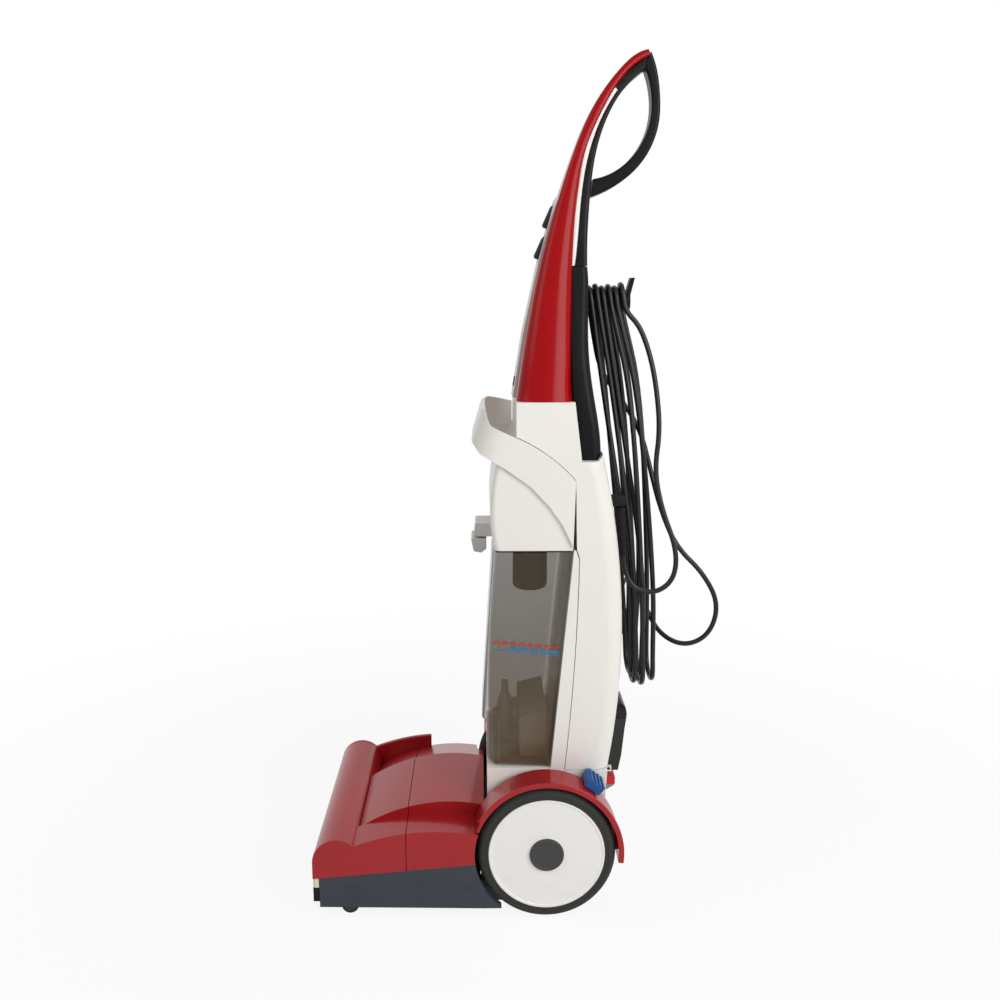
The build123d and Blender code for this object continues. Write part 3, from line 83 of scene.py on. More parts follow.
# Mains cord: the lead from its boot, the hank over the hook, and the tail to the plug
GLAND = Vector((0.188, -0.050, 0.566))
LEAD = (
    (0.195, -0.050, 0.486),
    (0.1972, -0.050, 0.4611),
    (0.214, -0.053, 0.437),
    (0.244, -0.055, 0.434),
    (0.268, -0.053, 0.455),
    (0.270, -0.049, 0.496),
    (0.248, -0.044, 0.552),
    (0.237, -0.040, 0.606),
    (0.244, -0.036, 0.662),
    (0.238, -0.031, 0.722),
    (0.229, -0.024, 0.766),
    (0.2150, -0.018, 0.804),
)
BOOT_FOOT = Vector(LEAD[0])
TAIL = (
    (0.1537, 0.017, 0.797),
    (0.166, 0.030, 0.740),
    (0.198, 0.047, 0.700),
    (0.227, 0.036, 0.655),
    (0.238, 0.008, 0.604),
    (0.252, -0.008, 0.546),
    (0.276, -0.012, 0.490),
    (0.316, -0.012, 0.452),
    (0.342, -0.010, 0.404),
    (0.331, -0.005, 0.355),
    (0.296, 0.005, 0.334),
    (0.261, 0.024, 0.348),
    (0.244, 0.050, 0.382),
    (0.236, 0.082, 0.410),
    (0.222, 0.114, 0.412),
    (0.217, 0.130, 0.388),
    (0.217, 0.130, 0.362),
)
PLUG_TOP = Vector(TAIL[-1])
LOOPS = 6
HOOK_Z = 0.837
FIRST_LOOP_X = 0.1918
LOOP_PITCH = 0.0088
# How far each loop stands above the one that lies lowest on the hook
LOOP_LIFT = (0.0045, 0.0, 0.002, 0.0, 0.0025, 0.0)
TOP_LEAN = 0.15
FOOT_X = 0.234
FOOT_PITCH = 0.006
FOOT_LEAN = 0.04
FOOT_Z = (0.320, 0.324, 0.322, 0.325, 0.331)
FOOT_HALF = (0.030, 0.040, 0.026, 0.038, 0.031)
RUN = 0.129
# How far each loop hangs out of line: its foot, then X and Y high on a run and X low on it
FOOT_STRAY = (0.010, 0.000, 0.006, 0.001, 0.002)
FAR_STRAY = (
    (0.0135, 0.000, 0.0135),
    (0.010, 0.005, 0.010),
    (0.006, 0.000, 0.004),
    (0.003, 0.005, 0.006),
    (-0.002, 0.000, -0.002),
)
NEAR_STRAY = (
    (0.0135, 0.000, 0.0135),
    (0.012, -0.007, 0.001),
    (0.002, 0.000, 0.013),
    (0.004, -0.004, 0.004),
    (0.000, 0.000, 0.004),
)
# Y and Z of a loop's points over the hook, and the same round its foot as shares of its half width
OVER_HOOK = (
    (-0.0174, 0.820),
    (-0.0174, 0.846),
    (-0.0090, 0.8555),
    (0.0090, 0.8555),
    (0.0174, 0.846),
    (0.0174, 0.820),
)
ROUND_FOOT = ((1.0, 0.3), (1.0, -0.59), (0.41, -1.0), (-0.41, -1.0), (-1.0, -0.59), (-1.0, 0.3))

# Cord boot: a square nut on the housing, then a ribbed cone
NUT_HALF = 0.0075
NUT_ROOT = 0.010
NUT_ROUND = 0.002
BOOT_ROOT = 0.004
BOOT_RIBS = 7
RIBS_FROM = 0.012
RIBS_SHORT_OF_TIP = 0.004
RIB_RADIUS = 0.0068
RIB_TAPER = 0.0014
RIB_DEPTH = 0.0010
# Depth below a rib's top and share of the pitch, then radius and distance from the tip
RIB_STEPS = ((0.0, 0.0), (0.0, 0.55), (RIB_DEPTH, 0.65), (RIB_DEPTH, 0.95))
BOOT_TIP = ((0.0048, 0.003), (0.0044, 0.0), (0.0, 0.0))

# Plug: radius and distance from its top, or from the start of a rib or pin
PLUG_NECK = (
    (0.0, 0.0),
    (0.0055, 0.0),
    (0.0062, 0.001),
    (0.0066, 0.008),
    (0.0095, 0.011),
    (0.0132, 0.014),
    (0.0158, 0.018),
)
PLUG_RIBS = 4
PLUG_RIBS_FROM = 0.020
PLUG_RIB_PITCH = 0.004
PLUG_RIB = ((0.0168, 0.0), (0.0168, 0.0022), (0.0158, 0.0028), (0.0158, 0.0036))
PLUG_FACE = ((0.0168, 0.0372), (0.0170, 0.040), (0.0166, 0.0432), (0.0158, 0.044), (0.0, 0.044))
PIN = (
    (0.0, 0.0),
    (0.0024, 0.0),
    (0.0024, 0.0184),
    (0.0020, 0.0195),
    (0.0011, 0.0200),
    (0.0, 0.0200),
)
PIN_HALF_GAP = 0.0095
PIN_FROM = 0.043

# Wheels: distances in from the tread and the side, share of a groove's depth and distance from the
# middle, or a radius and a distance in from the side
WHEEL_SHARP = 28.0
TYRE_SHOULDER = (
    (0.0145, 0.0),
    (0.0118, 0.0),
    (0.0112, 0.0006),
    (0.0100, 0.0006),
    (0.0094, 0.0),
    (0.0070, 0.0002),
    (0.0042, 0.0013),
    (0.0020, 0.0034),
    (0.0005, 0.0064),
)
TYRE_GROOVES = ((0, 0.0078), (1, 0.0071), (1, 0.0053), (0, 0.0046), (0, 0.0016), (1, 0.0009))
DISC_BORE = 0.0062
DISC_HUB = 0.0150
DISC_RIM = 0.080
DISC_WALL = 0.004
DISC_WEB = 0.0050
DISC_FACE = (
    (DISC_BORE, 0.0003),
    (0.0245, 0.0003),
    (0.0252, 0.0010),
    (0.0700, 0.0014),
    (0.0755, 0.0012),
    (0.0766, 0.0002),
    (0.0792, 0.0002),
    (DISC_RIM, 0.0010),
)
CAP_RIM = ((0.0, 0.0014), (0.0005, 0.0005), (0.0016, 0.0), (0.0040, 0.0), (0.0046, 0.0005))
CAP_CROWN = ((0.0090, 0.0003), (0.0, 0.0001))
ROLLER_FACE = ((0.0031, 0.0), (0.0075, 0.0), (0.0082, 0.0012), (0.0094, 0.0012), (0.0100, 0.0))
ROLLER_SHOULDER = ((0.0008, 0.0006), (0.0, 0.0020))
ROLLER_GROOVE = ((0.0, 0.0032), (0.0008, 0.0022))

# Brush tufts
TUFT_ROOT = 0.0195
TUFTS_IN_ROW = 30
TUFT_SIDES = 7
TUFT_FLARE = 1.6
ROW_WINDS = 0.35

# Rockers, on the panel's slope: distances along it and out of it
PANEL_ALONG = Vector((0.2646, 0.0, 0.9644))
PANEL_OUT = Vector((-0.9644, 0.0, 0.2646))
PANEL_X = 0.078
PANEL_Z = 0.892
PANEL_LEAN = 0.2744
ROCKERS = (("pump", 0.908), ("brush", 0.949))
ROCKER_SIDE = ((0.016, -0.0045), (0.016, 0.006), (-0.016, 0.011), (-0.016, -0.0045))
ROCKER_HALF = 0.009
ROCKER_ROUND = 0.0042
ROCKER_SHARP = 60.0

# Exhaust box: its band of painted shade, its leaning back and the louvre bars on it
BOX_SHADE_BAND = (0.240, 0.261)
BOX_BACK = 0.200
BOX_FOOT = 0.184
BOX_LEAN = 0.0976
SLATS = 6
SLAT_Z = 0.190
SLAT_PITCH = 0.0075
SLAT_LOW = Vector((-0.003, -0.030, -0.0016))
SLAT_HIGH = Vector((0.0016, 0.030, 0.0016))
SLAT_ROUND = 0.0008

# Recovery tank: where its smoke grows denser, where its bowed front is painted darker as shade, and
# its level marks
TANK_FOOT, TANK_TOP = 0.19, 0.50
TANK_LEFT, TANK_RIGHT = -0.04, 0.04
BOW_Z = 0.49
BOW_LEAN = 0.052
# Where the painted shade on the bowed front fades out
BOW_SHADE_FROM, BOW_SHADE_TO = 0.0105, 0.0145
MARK_X, MARK_Z = 0.011, 0.380
MARK_LONG = 0.094
MARK_FALL = 0.10
# Name, ink, dashes, their pitch and length, heights of the dashes and of the line under them
MARKS = (
    ("upper_level_mark", "mark_red", 8, 0.0115, 0.0080, (-0.0012, 0.0010), (-0.0038, -0.0028)),
    ("lower_level_mark", "mark_blue", 5, 0.0140, 0.0115, (-0.0102, -0.0058), (-0.0126, -0.0116)),
)

# CAD nodes that get rounded edges: share of the usual round, its segments, the nodes
BASE_SKINS = (
    (1.2, 3, ("front_cover", "rear_cover", "left_fender", "right_fender", "brush_side_plate")),
    (0.8, 2, ("base_chassis", "front_splash_strip", "front_bumper")),
    (0.6, 2, ("squeegee_holder", "squeegee_blades", "squeegee_pedal")),
    (0.6, 2, ("release_pedal", "release_arm")),
)
BODY_SKINS = (
    (1.0, 3, ("tank_cradle", "rear_housing", "filter_cover")),
    (0.8, 3, ("handle_shell", "handle_strip", "handle_spine")),
    (0.8, 3, ("handle_cover", "grip_loop", "cord_hook")),
)
PANEL_SKINS = ((0.5, 2, ("control_panel", "reset_button")),)
TANK_SKINS = (
    (0.5, 2, ("recovery_tank",)),
    (1.0, 3, ("tank_lid", "carry_loop", "latch_bracket", "latch_lever")),
    (0.5, 2, ("float_cage", "float")),
)
STANDPIPE_ROUND = 2.0
# Long bowed skins, whose thin faces shade evenly when weighted by the angles of their corners
BOWED = ("handle_shell", "handle_strip", "handle_spine")

# Mesh: degrees for edges that stay sharp or get a round, radians for what counts as flat
SHARP = 35.0
SKIN_SHARP = 40.0
ROUND_FROM = 32.0
FLAT = 0.004
WELD = 1e-6
SKIN_WELD = 1e-5

# Stage
SENSOR = 36.0
FLOOR_HALF = 30.0
FLOOR_GREY = (0.86, 0.86, 0.86, 1.0)
FLOOR_WHITE = 0.9
FLOOR_NEAR, FLOOR_FAR = 0.4, 1.5
# Setting that holds its power, place, the point it faces, size
LAMPS = (
    ("key", (-1.7, -1.0, 2.2), (0.05, 0.0, 0.5), 1.6),
    ("fill", (1.55, -1.75, 1.5), (0.08, 0.0, 0.7), 1.5),
    ("top", (0.1, 0.3, 2.6), (0.05, 0.0, 0.4), 1.6),
)

# Finishes
# Slot, colour setting, roughness, depth and fineness of the grain, colour drift, scuffs, shine
MOULDINGS = (
    ("chassis_grey", "chassis", 0.50, 0.00006, 700.0, 0.05, 0.70, 0.25),
    ("cream", "cream", 0.34, 0.00002, 1100.0, 0.015, 0.0, 0.40),
    ("wheel_white", "disc", 0.40, 0.00003, 900.0, 0.02, 0.15, 0.40),
    ("cap_grey", "cap", 0.46, 0.00004, 800.0, 0.06, 0.0, 0.30),
    ("pedal_blue", "pedal_blue", 0.44, 0.00004, 800.0, 0.06, 0.0, 0.40),
    ("pedal_red", "pedal_red", 0.42, 0.00004, 800.0, 0.06, 0.0, 0.40),
    ("slate", "slate", 0.40, 0.00004, 900.0, 0.06, 0.0, 0.12),
    ("black_soft", "grip", 0.34, 0.00003, 900.0, 0.06, 0.0, 0.15),
    ("panel_grey", "panel", 0.36, 0.00002, 1000.0, 0.03, 0.0, 0.40),
    ("switch_dark", "switch", 0.32, 0.00002, 1000.0, 0.06, 0.0, 0.25),
    ("ivory", "ivory", 0.40, 0.00003, 900.0, 0.03, 0.0, 0.40),
    ("mark_red", "mark_red", 0.50, 0.00001, 900.0, 0.06, 0.0, 0.40),
    ("mark_blue", "mark_blue", 0.50, 0.00001, 900.0, 0.06, 0.0, 0.40),
)
MURK_LOOK = (0.60, 0.00003, 500.0, 0.12, 0.0, 0.10)
METAL_GREY = (0.55, 0.55, 0.56)
FOAM_GREY = (0.2, 0.2, 0.2)
# Standpipe inside the tank: its colour is lifted as painted light, to make up for the light the
# smoky walls hold back
MURK_PAINTED_LIGHT = (0.66, 0.62, 0.56)
SCUFF_TOP = 0.16


def colour(name, description, default):
    return FloatVectorProperty(
        name=name,
        description=description,
        default=default,
        size=3,
        min=0.0,
        max=1.0,
        subtype="COLOR_GAMMA",
    )


def length(name, description, default):
    return FloatProperty(
        name=name, description=description, default=default, min=0.0, unit="LENGTH", precision=4
    )


def power(name, description, default):
    return FloatProperty(
        name=name, description=description, default=default, min=0.0, unit="POWER"
    )


class ScrubberColours(bpy.types.PropertyGroup):
    """Colours of the mouldings, as seen on the finished machine"""

    handle_red: colour("Handle red", "Gloss red of the handle shell", (0.63, 0.0, 0.03))
    cover_red: colour("Cover red", "Metallic red of the covers and fenders", (0.63, 0.10, 0.12))
    chassis: colour("Chassis", "Blue grey of the base below the covers", (0.23, 0.245, 0.275))
    cream: colour("Cream", "Body, lid and carry loop", (0.93, 0.915, 0.89))
    smoke: colour("Smoke", "Smoky clear plastic of the recovery tank", (0.36, 0.30, 0.215))
    tyre: colour("Tyre", "Rubber of the rear wheels", (0.20, 0.205, 0.195))
    disc: colour("Wheel disc", "Plastic of the wheel discs", (0.945, 0.935, 0.92))
    cap: colour("Hub cap", "Hub caps and front rollers", (0.24, 0.24, 0.24))
    box: colour("Filter box", "Exhaust box behind the body", (0.19, 0.192, 0.187))
    pedal_blue: colour("Blue pedal", "Squeegee pedal", (0.10, 0.34, 0.60))
    pedal_red: colour("Red pedal", "Tilt release pedal", (0.76, 0.13, 0.14))
    slate: colour("Slate", "Cover behind the handle and its cord hook", (0.05, 0.056, 0.064))
    grip: colour("Grip", "Grip loop and spine of the handle", (0.03, 0.032, 0.034))
    panel: colour("Panel", "Control panel and tank latch", (0.80, 0.79, 0.775))
    switch: colour("Switch", "Rockers and reset button", (0.09, 0.09, 0.10))
    cord: colour("Cord", "Sheath of the mains cord", (0.075, 0.075, 0.071))
    rubber: colour("Rubber", "Seals, blades, belt and cord boot", (0.08, 0.08, 0.08))
    ivory: colour("Ivory", "Front bumper strip and float", (0.90, 0.87, 0.80))
    bristle: colour("Bristle", "Brush fibres", (0.16, 0.24, 0.42))
    mark_red: colour("Red mark", "Upper level mark of the tank", (0.72, 0.16, 0.13))
    mark_blue: colour("Blue mark", "Lower level mark of the tank", (0.16, 0.45, 0.62))


class ScrubberSizes(bpy.types.PropertyGroup):
    """Sizes of the pieces that are made here"""

    cord: length("Cord", "Diameter of the mains cord", 0.0072)
    cord_long: length("Cord length", "Length of the mains cord from boot to plug", 7.30)
    edge: length("Edge round", "Round on the edges of the mouldings", 0.0012)
    groove: length("Tread groove", "Depth of the grooves in the tyres", 0.0014)
    tuft: length("Tuft", "Radius of a brush tuft at its root", 0.0026)
    rows: IntProperty(
        name="Brush rows", description="Rows of tufts round the brush", default=12, min=4, max=24
    )
    mark: length("Mark", "Thickness of the level marks on the tank", 0.0003)


class StageSettings(bpy.types.PropertyGroup):
    """Camera and light"""

    camera: FloatVectorProperty(
        name="Camera",
        description="Place of the camera",
        default=(-0.003, -1.478, 0.843),
        subtype="TRANSLATION",
    )
    pitch: FloatProperty(
        name="Pitch",
        description="Tilt of the camera from straight down",
        default=1.37986,
        subtype="ANGLE",
    )
    yaw: FloatProperty(
        name="Yaw", description="Turn of the camera about Z", default=-0.017453, subtype="ANGLE"
    )
    lens: FloatProperty(
        name="Lens", description="Focal length", default=37.8, min=1.0, subtype="DISTANCE_CAMERA"
    )
    key: power("Key light", "Power of the lamp high at the left", 15.0)
    fill: power("Fill light", "Power of the large lamp at the right", 40.0)
    top: power("Top light", "Power of the lamp overhead", 2.0)
    around: FloatProperty(
        name="Room light", description="Soft light from all round", default=0.30, min=0.0
    )


class ScrubberSettings(bpy.types.PropertyGroup):
    """Everything that can be set"""

    colours: PointerProperty(type=ScrubberColours)
    sizes: PointerProperty(type=ScrubberSizes)
    stage: PointerProperty(type=StageSettings)


# Materials
def linear(shade, factor=1.0):
    """Picture colour to the shader's own, made lighter or darker by a factor."""
    channels = [c / 12.92 if c <= 0.04045 else ((c + 0.055) / 1.055) ** 2.4 for c in shade]
    return (*[min(1.0, c * factor) for c in channels], 1.0)


class Value:
    """A shader socket that takes part in sums."""

    def __init__(self, finish, socket):
        self.finish = finish
        self.socket = socket

    def sum(self, operation, first, second):
        return self.finish.node("ShaderNodeMath", {"operation": operation}, {0: first, 1: second})

    def __add__(self, other):
        return self.sum("ADD", self, other)

    def __radd__(self, other):
        return self.sum("ADD", other, self)

    def __sub__(self, other):
        return self.sum("SUBTRACT", self, other)

    def __rsub__(self, other):
        return self.sum("SUBTRACT", other, self)

    def __mul__(self, other):
        return self.sum("MULTIPLY", self, other)

    def __rmul__(self, other):
        return self.sum("MULTIPLY", other, self)


class Finish:
    """A material, or the room, with one shader that is fed by the nodes its methods add."""

    def __init__(self, name, owner=None, shader="Principled BSDF"):
        self.name = name
        self.owner = owner or bpy.data.materials.new(name)
        self.owner.use_nodes = True
        self.tree = self.owner.node_tree
        self.shader = self.tree.nodes[shader]

    def node(self, kind, settings=None, sockets=None, out=0):
        """Any node: its type, its settings, what goes into its sockets, and the output to use."""
        made = self.tree.nodes.new(kind)
        for name, value in (settings or {}).items():
            setattr(made, name, value)
        for key, value in (sockets or {}).items():
            self.feed(made.inputs[key], value)
        return Value(self, made.outputs[out])

    def feed(self, socket, value):
        """Links what varies, and sets a constant on the socket itself."""
        if isinstance(value, Value):
            self.tree.links.new(value.socket, socket)
        else:
            socket.default_value = value

    def surface(self, **inputs):
        """Feeds the shader's inputs, named with _ for a space."""
        for name, value in inputs.items():
            self.feed(self.shader.inputs[name.replace("_", " ")], value)

    def place(self):
        return self.node("ShaderNodeTexCoord", out="Object")

    def along(self, axis):
        return self.node("ShaderNodeSeparateXYZ", None, {0: self.place()}, axis)

    def noise(self, scale, detail=2.0, stretch=(1.0, 1.0, 1.0)):
        spot = self.node("ShaderNodeMapping", None, {"Vector": self.place(), "Scale": stretch})
        sockets = {"Vector": spot, "Scale": scale, "Detail": detail}
        return self.node("ShaderNodeTexNoise", None, sockets, "Fac")

    def cells(self, scale):
        sockets = {"Vector": self.place(), "Scale": scale}
        return self.node("ShaderNodeTexVoronoi", None, sockets, "Distance")

    def fade(self, value, low, high):
        """0 at low, 1 at high, with soft ends."""
        settings = {"interpolation_type": "SMOOTHSTEP"}
        sockets = {"Value": value, "From Min": low, "From Max": high}
        return self.node("ShaderNodeMapRange", settings, sockets)

    def band(self, value, low, high, soft):
        """1 between low and high, 0 elsewhere, with soft edges."""
        return self.fade(value, low - soft, low) * (1 - self.fade(value, high, high + soft))

    def mix(self, share, first, second):
        """Colour between two, through the Mix node's colour sockets, which go by number."""
        sockets = {0: share, 6: first, 7: second}
        return self.node("ShaderNodeMix", {"data_type": "RGBA"}, sockets, 2)

    def bump(self, height, depth):
        sockets = {"Height": height, "Strength": 1.0, "Distance": depth}
        return self.node("ShaderNodeBump", None, sockets)


def moulded(name, shade, rough, grain, fine, drift, scuff, shine):
    """Moulded plastic with a fine grain, uneven in colour and gloss, scuffed near the floor."""
    f = Finish(name)
    patch = f.noise(6.0, 3.0)
    tone = f.mix(patch, linear(shade, 1 - drift), linear(shade, 1 + drift))
    if scuff:
        low = 1 - f.fade(f.along("Z"), 0.0, SCUFF_TOP)
        streak = f.fade(f.noise(26.0, 5.0, (1.0, 1.0, 3.0)), 0.52, 0.74)
        tone = f.mix(low * streak * scuff, tone, linear(shade, 0.72))
    f.surface(
        Base_Color=tone,
        Roughness=rough - 0.04 + patch * 0.08,
        Normal=f.bump(f.noise(fine, 2.0), grain),
        Specular_IOR_Level=shine,
    )
    return f


def gloss_paint(name, shade):
    """Deep gloss moulding with a faint ripple in its skin."""
    f = Finish(name)
    patch = f.noise(4.0, 2.0)
    ripple = f.noise(40.0, 1.0)
    f.surface(
        Base_Color=f.mix(patch, linear(shade, 0.9), linear(shade, 1.1)),
        Roughness=0.16 + patch * 0.06,
        Normal=f.bump(ripple, 0.00002),
        Specular_IOR_Level=0.14,
    )
    return f


def flake_paint(name, shade):
    """Metallic paint: fine bright flakes in a red ground under a clear coat."""
    f = Finish(name)
    flake = f.fade(f.noise(2600.0, 1.0), 0.42, 0.72)
    patch = f.noise(5.0, 2.0)
    ground = f.mix(patch, linear(shade, 0.86), linear(shade, 1.08))
    f.surface(
        Base_Color=f.mix(flake * 0.35, ground, linear(shade, 1.6)),
        Metallic=0.06 + flake * 0.2,
        Roughness=0.3 + patch * 0.08,
        Normal=f.bump(f.noise(90.0, 1.0), 0.00003),
        Specular_IOR_Level=0.15,
        Coat_Weight=0.4,
        Coat_Roughness=0.1,
    )
    return f


def smoky(name, shade):
    """Tinted clear plastic, denser towards the foot and the right side, and darker on the tank's
    bowed front as painted shade.
    """
    f = Finish(name)
    depth = 1 - f.fade(f.along("Z"), TANK_FOOT, TANK_TOP)
    right = f.fade(f.along("Y"), TANK_LEFT, TANK_RIGHT)
    # Painted shade: the bowed front is made more opaque and so darker, as it looks where it is seen
    # edge-on
    from_bow = f.along("X") - (f.along("Z") - BOW_Z) * BOW_LEAN
    front = 1 - f.fade(from_bow, BOW_SHADE_FROM, BOW_SHADE_TO)
    cloud = f.noise(9.0, 2.0)
    f.surface(
        Base_Color=f.mix(depth, linear(shade), linear(shade, 1.5)),
        Roughness=0.1 + cloud * 0.08,
        Alpha=0.26 + right * 0.18 + front * 0.35 + depth * 0.10 + cloud * 0.03,
        Normal=f.bump(f.noise(30.0, 1.0), 0.00003),
        Coat_Weight=0.3,
    )
    return f


def rubbery(name, shade, rough, fine, shine):
    """Rubber with a fine skin and a cloudy bloom."""
    f = Finish(name)
    bloom = f.noise(18.0, 4.0)
    f.surface(
        Base_Color=f.mix(bloom, linear(shade, 0.82), linear(shade, 1.2)),
        Roughness=rough - 0.06 + bloom * 0.12,
        Normal=f.bump(f.noise(fine, 3.0), 0.00006),
        Specular_IOR_Level=shine,
    )
    return f


def brushed(name, shade, rough):
    """Metal with hair lines across the machine."""
    f = Finish(name)
    hair = f.noise(160.0, 3.0, (1.0, 0.06, 1.0))
    f.surface(
        Base_Color=f.mix(hair, linear(shade, 0.8), linear(shade, 1.15)),
        Metallic=1.0,
        Roughness=rough + hair * 0.15,
        Normal=f.bump(hair, 0.00002),
    )
    return f


def shade_banded_box(name, shade):
    """Satin box with a glossier band across it, painted darker there as shade."""
    f = Finish(name)
    # The band is painted shade: the box is coloured darker there to stand for the shading where its
    # top turns over
    band = f.band(f.along("Z"), *BOX_SHADE_BAND, 0.001)
    ground = f.mix(f.noise(6.0, 3.0), linear(shade, 0.94), linear(shade, 1.06))
    f.surface(
        Base_Color=f.mix(band, ground, linear(shade, 0.4)),
        Roughness=0.44 - band * 0.24,
        Normal=f.bump(f.noise(900.0, 2.0), 0.00003),
        Specular_IOR_Level=0.2,
    )
    return f


def sponge(name, shade):
    """Open foam with pores, painted darker in them as shade."""
    f = Finish(name)
    pores_and_shade = f.cells(420.0)
    f.surface(
        # The pores' darkness is painted shade in their hollows; the bump dents them as well
        Base_Color=f.mix(pores_and_shade, linear(shade, 0.5), linear(shade, 1.3)),
        Roughness=0.92,
        Normal=f.bump(pores_and_shade, 0.0006),
    )
    return f


def fibre(name, shade):
    """Bundled bristles, lighter and darker from strand to strand."""
    f = Finish(name)
    strand = f.noise(300.0, 2.0, (1.0, 0.3, 1.0))
    f.surface(
        Base_Color=f.mix(strand, linear(shade, 0.7), linear(shade, 1.4)),
        Roughness=0.5,
        Normal=f.bump(strand, 0.0002),
    )
    return f


def mix_finishes(shades):
    """One material for each slot of the record, the standpipe in the tank, lightened as painted
    light, and the level marks.
    """
    made = [
        gloss_paint("handle_red", shades.handle_red),
        flake_paint("cover_red", shades.cover_red),
        smoky("smoke", shades.smoke),
        shade_banded_box("box_grey", shades.box),
        rubbery("tyre", shades.tyre, rough=0.78, fine=650.0, shine=0.25),
        rubbery("rubber", shades.rubber, rough=0.7, fine=700.0, shine=0.2),
        rubbery("cord", shades.cord, rough=0.34, fine=900.0, shine=0.35),
        brushed("steel", METAL_GREY, rough=0.28),
        brushed("motor_metal", METAL_GREY, rough=0.42),
        fibre("bristle", shades.bristle),
        sponge("foam", FOAM_GREY),
        moulded("murk", MURK_PAINTED_LIGHT, *MURK_LOOK),
    ]
    made += [moulded(slot, getattr(shades, shade), *look) for slot, shade, *look in MOULDINGS]
    FINISHES.update({finish.name: finish.owner for finish in made})


# Mesh helpers
def linked(name, data):
    """A new object in the scene."""
    obj = bpy.data.objects.new(name, data)
    bpy.context.scene.collection.objects.link(obj)
    return obj


def shaped(name, bm, sharp=SHARP):
    """A mesh object, smooth but for its edges sharper than an angle."""
    mesh = bpy.data.meshes.new(name)
    bm.to_mesh(mesh)
    bm.free()
    mesh.shade_smooth()
    mesh.set_sharp_from_angle(angle=math.radians(sharp))
    return linked(name, mesh)


def settle(obj, slot, body, nodes=()):
    """Gives a piece its finish and its body, and lets it stand for CAD nodes."""
    obj.data.materials.clear()
    obj.data.materials.append(FINISHES[slot])
    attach(obj, body)
    if nodes:
        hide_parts(*nodes)
    return obj


def piece(name, bm, slot, body, nodes=(), sharp=SHARP):
    """A finished piece from a bmesh, welded and with its faces outwards."""
    bmesh.ops.remove_doubles(bm, verts=bm.verts, dist=WELD)
    bmesh.ops.recalc_face_normals(bm, faces=bm.faces)
    return settle(shaped(name, bm, sharp), slot, body, nodes)


def rounded(obj, width, segments):
    """Small rounds on the sharp edges, with flat faces kept flat."""
    bevel = obj.modifiers.new("edge_round", "BEVEL")
    bevel.width = width
    bevel.segments = segments
    bevel.limit_method = "ANGLE"
    bevel.angle_limit = math.radians(ROUND_FROM)
    bevel.profile = 0.5
    bevel.material = -1
    even = obj.modifiers.new("even_shade", "WEIGHTED_NORMAL")
    even.keep_sharp = True
    return even


def dressed(node, width, segments, slot=None):
    """A copy of a CAD node with its edges rounded, in the node's own finish or another."""
    source = NODES[node]
    bm = bmesh.new()
    bm.from_mesh(source.data)
    bmesh.ops.remove_doubles(bm, verts=bm.verts, dist=SKIN_WELD)
    bmesh.ops.dissolve_limit(bm, angle_limit=FLAT, verts=bm.verts, edges=bm.edges)
    obj = shaped(node + "_skin", bm, SKIN_SHARP)
    settle(obj, slot or NODE_SLOT[node], source["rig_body"], [node])
    even = rounded(obj, width, segments)
    if node in BOWED:
        even.mode = "CORNER_ANGLE"


def dress(rows, edge):
    """Rounds the edges of the nodes in each row."""
    for share, segments, nodes in rows:
        for node in nodes:
            dressed(node, edge * share, segments)


def spread(node):
    """Centre, half width and radius of a node that is round about a line across the machine."""
    low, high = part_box(node)
    return (low + high) / 2, (high.y - low.y) / 2, (high.z - low.z) / 2


def mirrored(side):
    """Whole outline from its half on one side of the middle."""
    return side + [(r, -h) for r, h in reversed(side)]


def turn(bm, outline, centre, axis, steps, closed=False):
    """Turns an outline of radius and height about an axis through a centre."""
    side = axis.orthogonal().normalized()
    rim = [bm.verts.new(centre + side * r + axis * h) for r, h in outline]
    pairs = list(zip(rim, rim[1:]))
    if closed:
        pairs.append((rim[-1], rim[0]))
    edges = [bm.edges.new(pair) for pair in pairs]
    bmesh.ops.spin(
        bm,
        geom=rim + edges,
        cent=centre,
        axis=axis,
        angle=math.tau,
        steps=steps,
        use_merge=True,
        dvec=(0, 0, 0),
    )


def round_edges(bm, edges, width, segments):
    """Rounds edges of a bmesh."""
    bmesh.ops.bevel(
        bm,
        geom=list(edges),
        offset=width,
        offset_type="OFFSET",
        affect="EDGES",
        segments=segments,
        profile=0.5,
        material=-1,
        clamp_overlap=True,
    )


def bar(bm, low, high, width=0.0):
    """Box between two corners, with its edges rounded where a width is given."""
    place = Matrix.Translation((low + high) / 2) @ Matrix.Diagonal((*(high - low), 1.0))
    made = bmesh.ops.create_cube(bm, size=1.0, matrix=place)
    if width:
        edges = dict.fromkeys(e for v in made["verts"] for e in v.link_edges)
        round_edges(bm, edges, width, segments=2)


def slab(bm, corners, half, width):
    """Prism across the machine over an outline in its middle plane, with its edges rounded."""
    face = bm.faces.new([bm.verts.new(corner - LEFT * half) for corner in corners])
    made = bmesh.ops.extrude_face_region(bm, geom=[face])
    moved = [v for v in made["geom"] if isinstance(v, bmesh.types.BMVert)]
    bmesh.ops.translate(bm, verts=moved, vec=LEFT * 2 * half)
    round_edges(bm, bm.edges, width, segments=4)


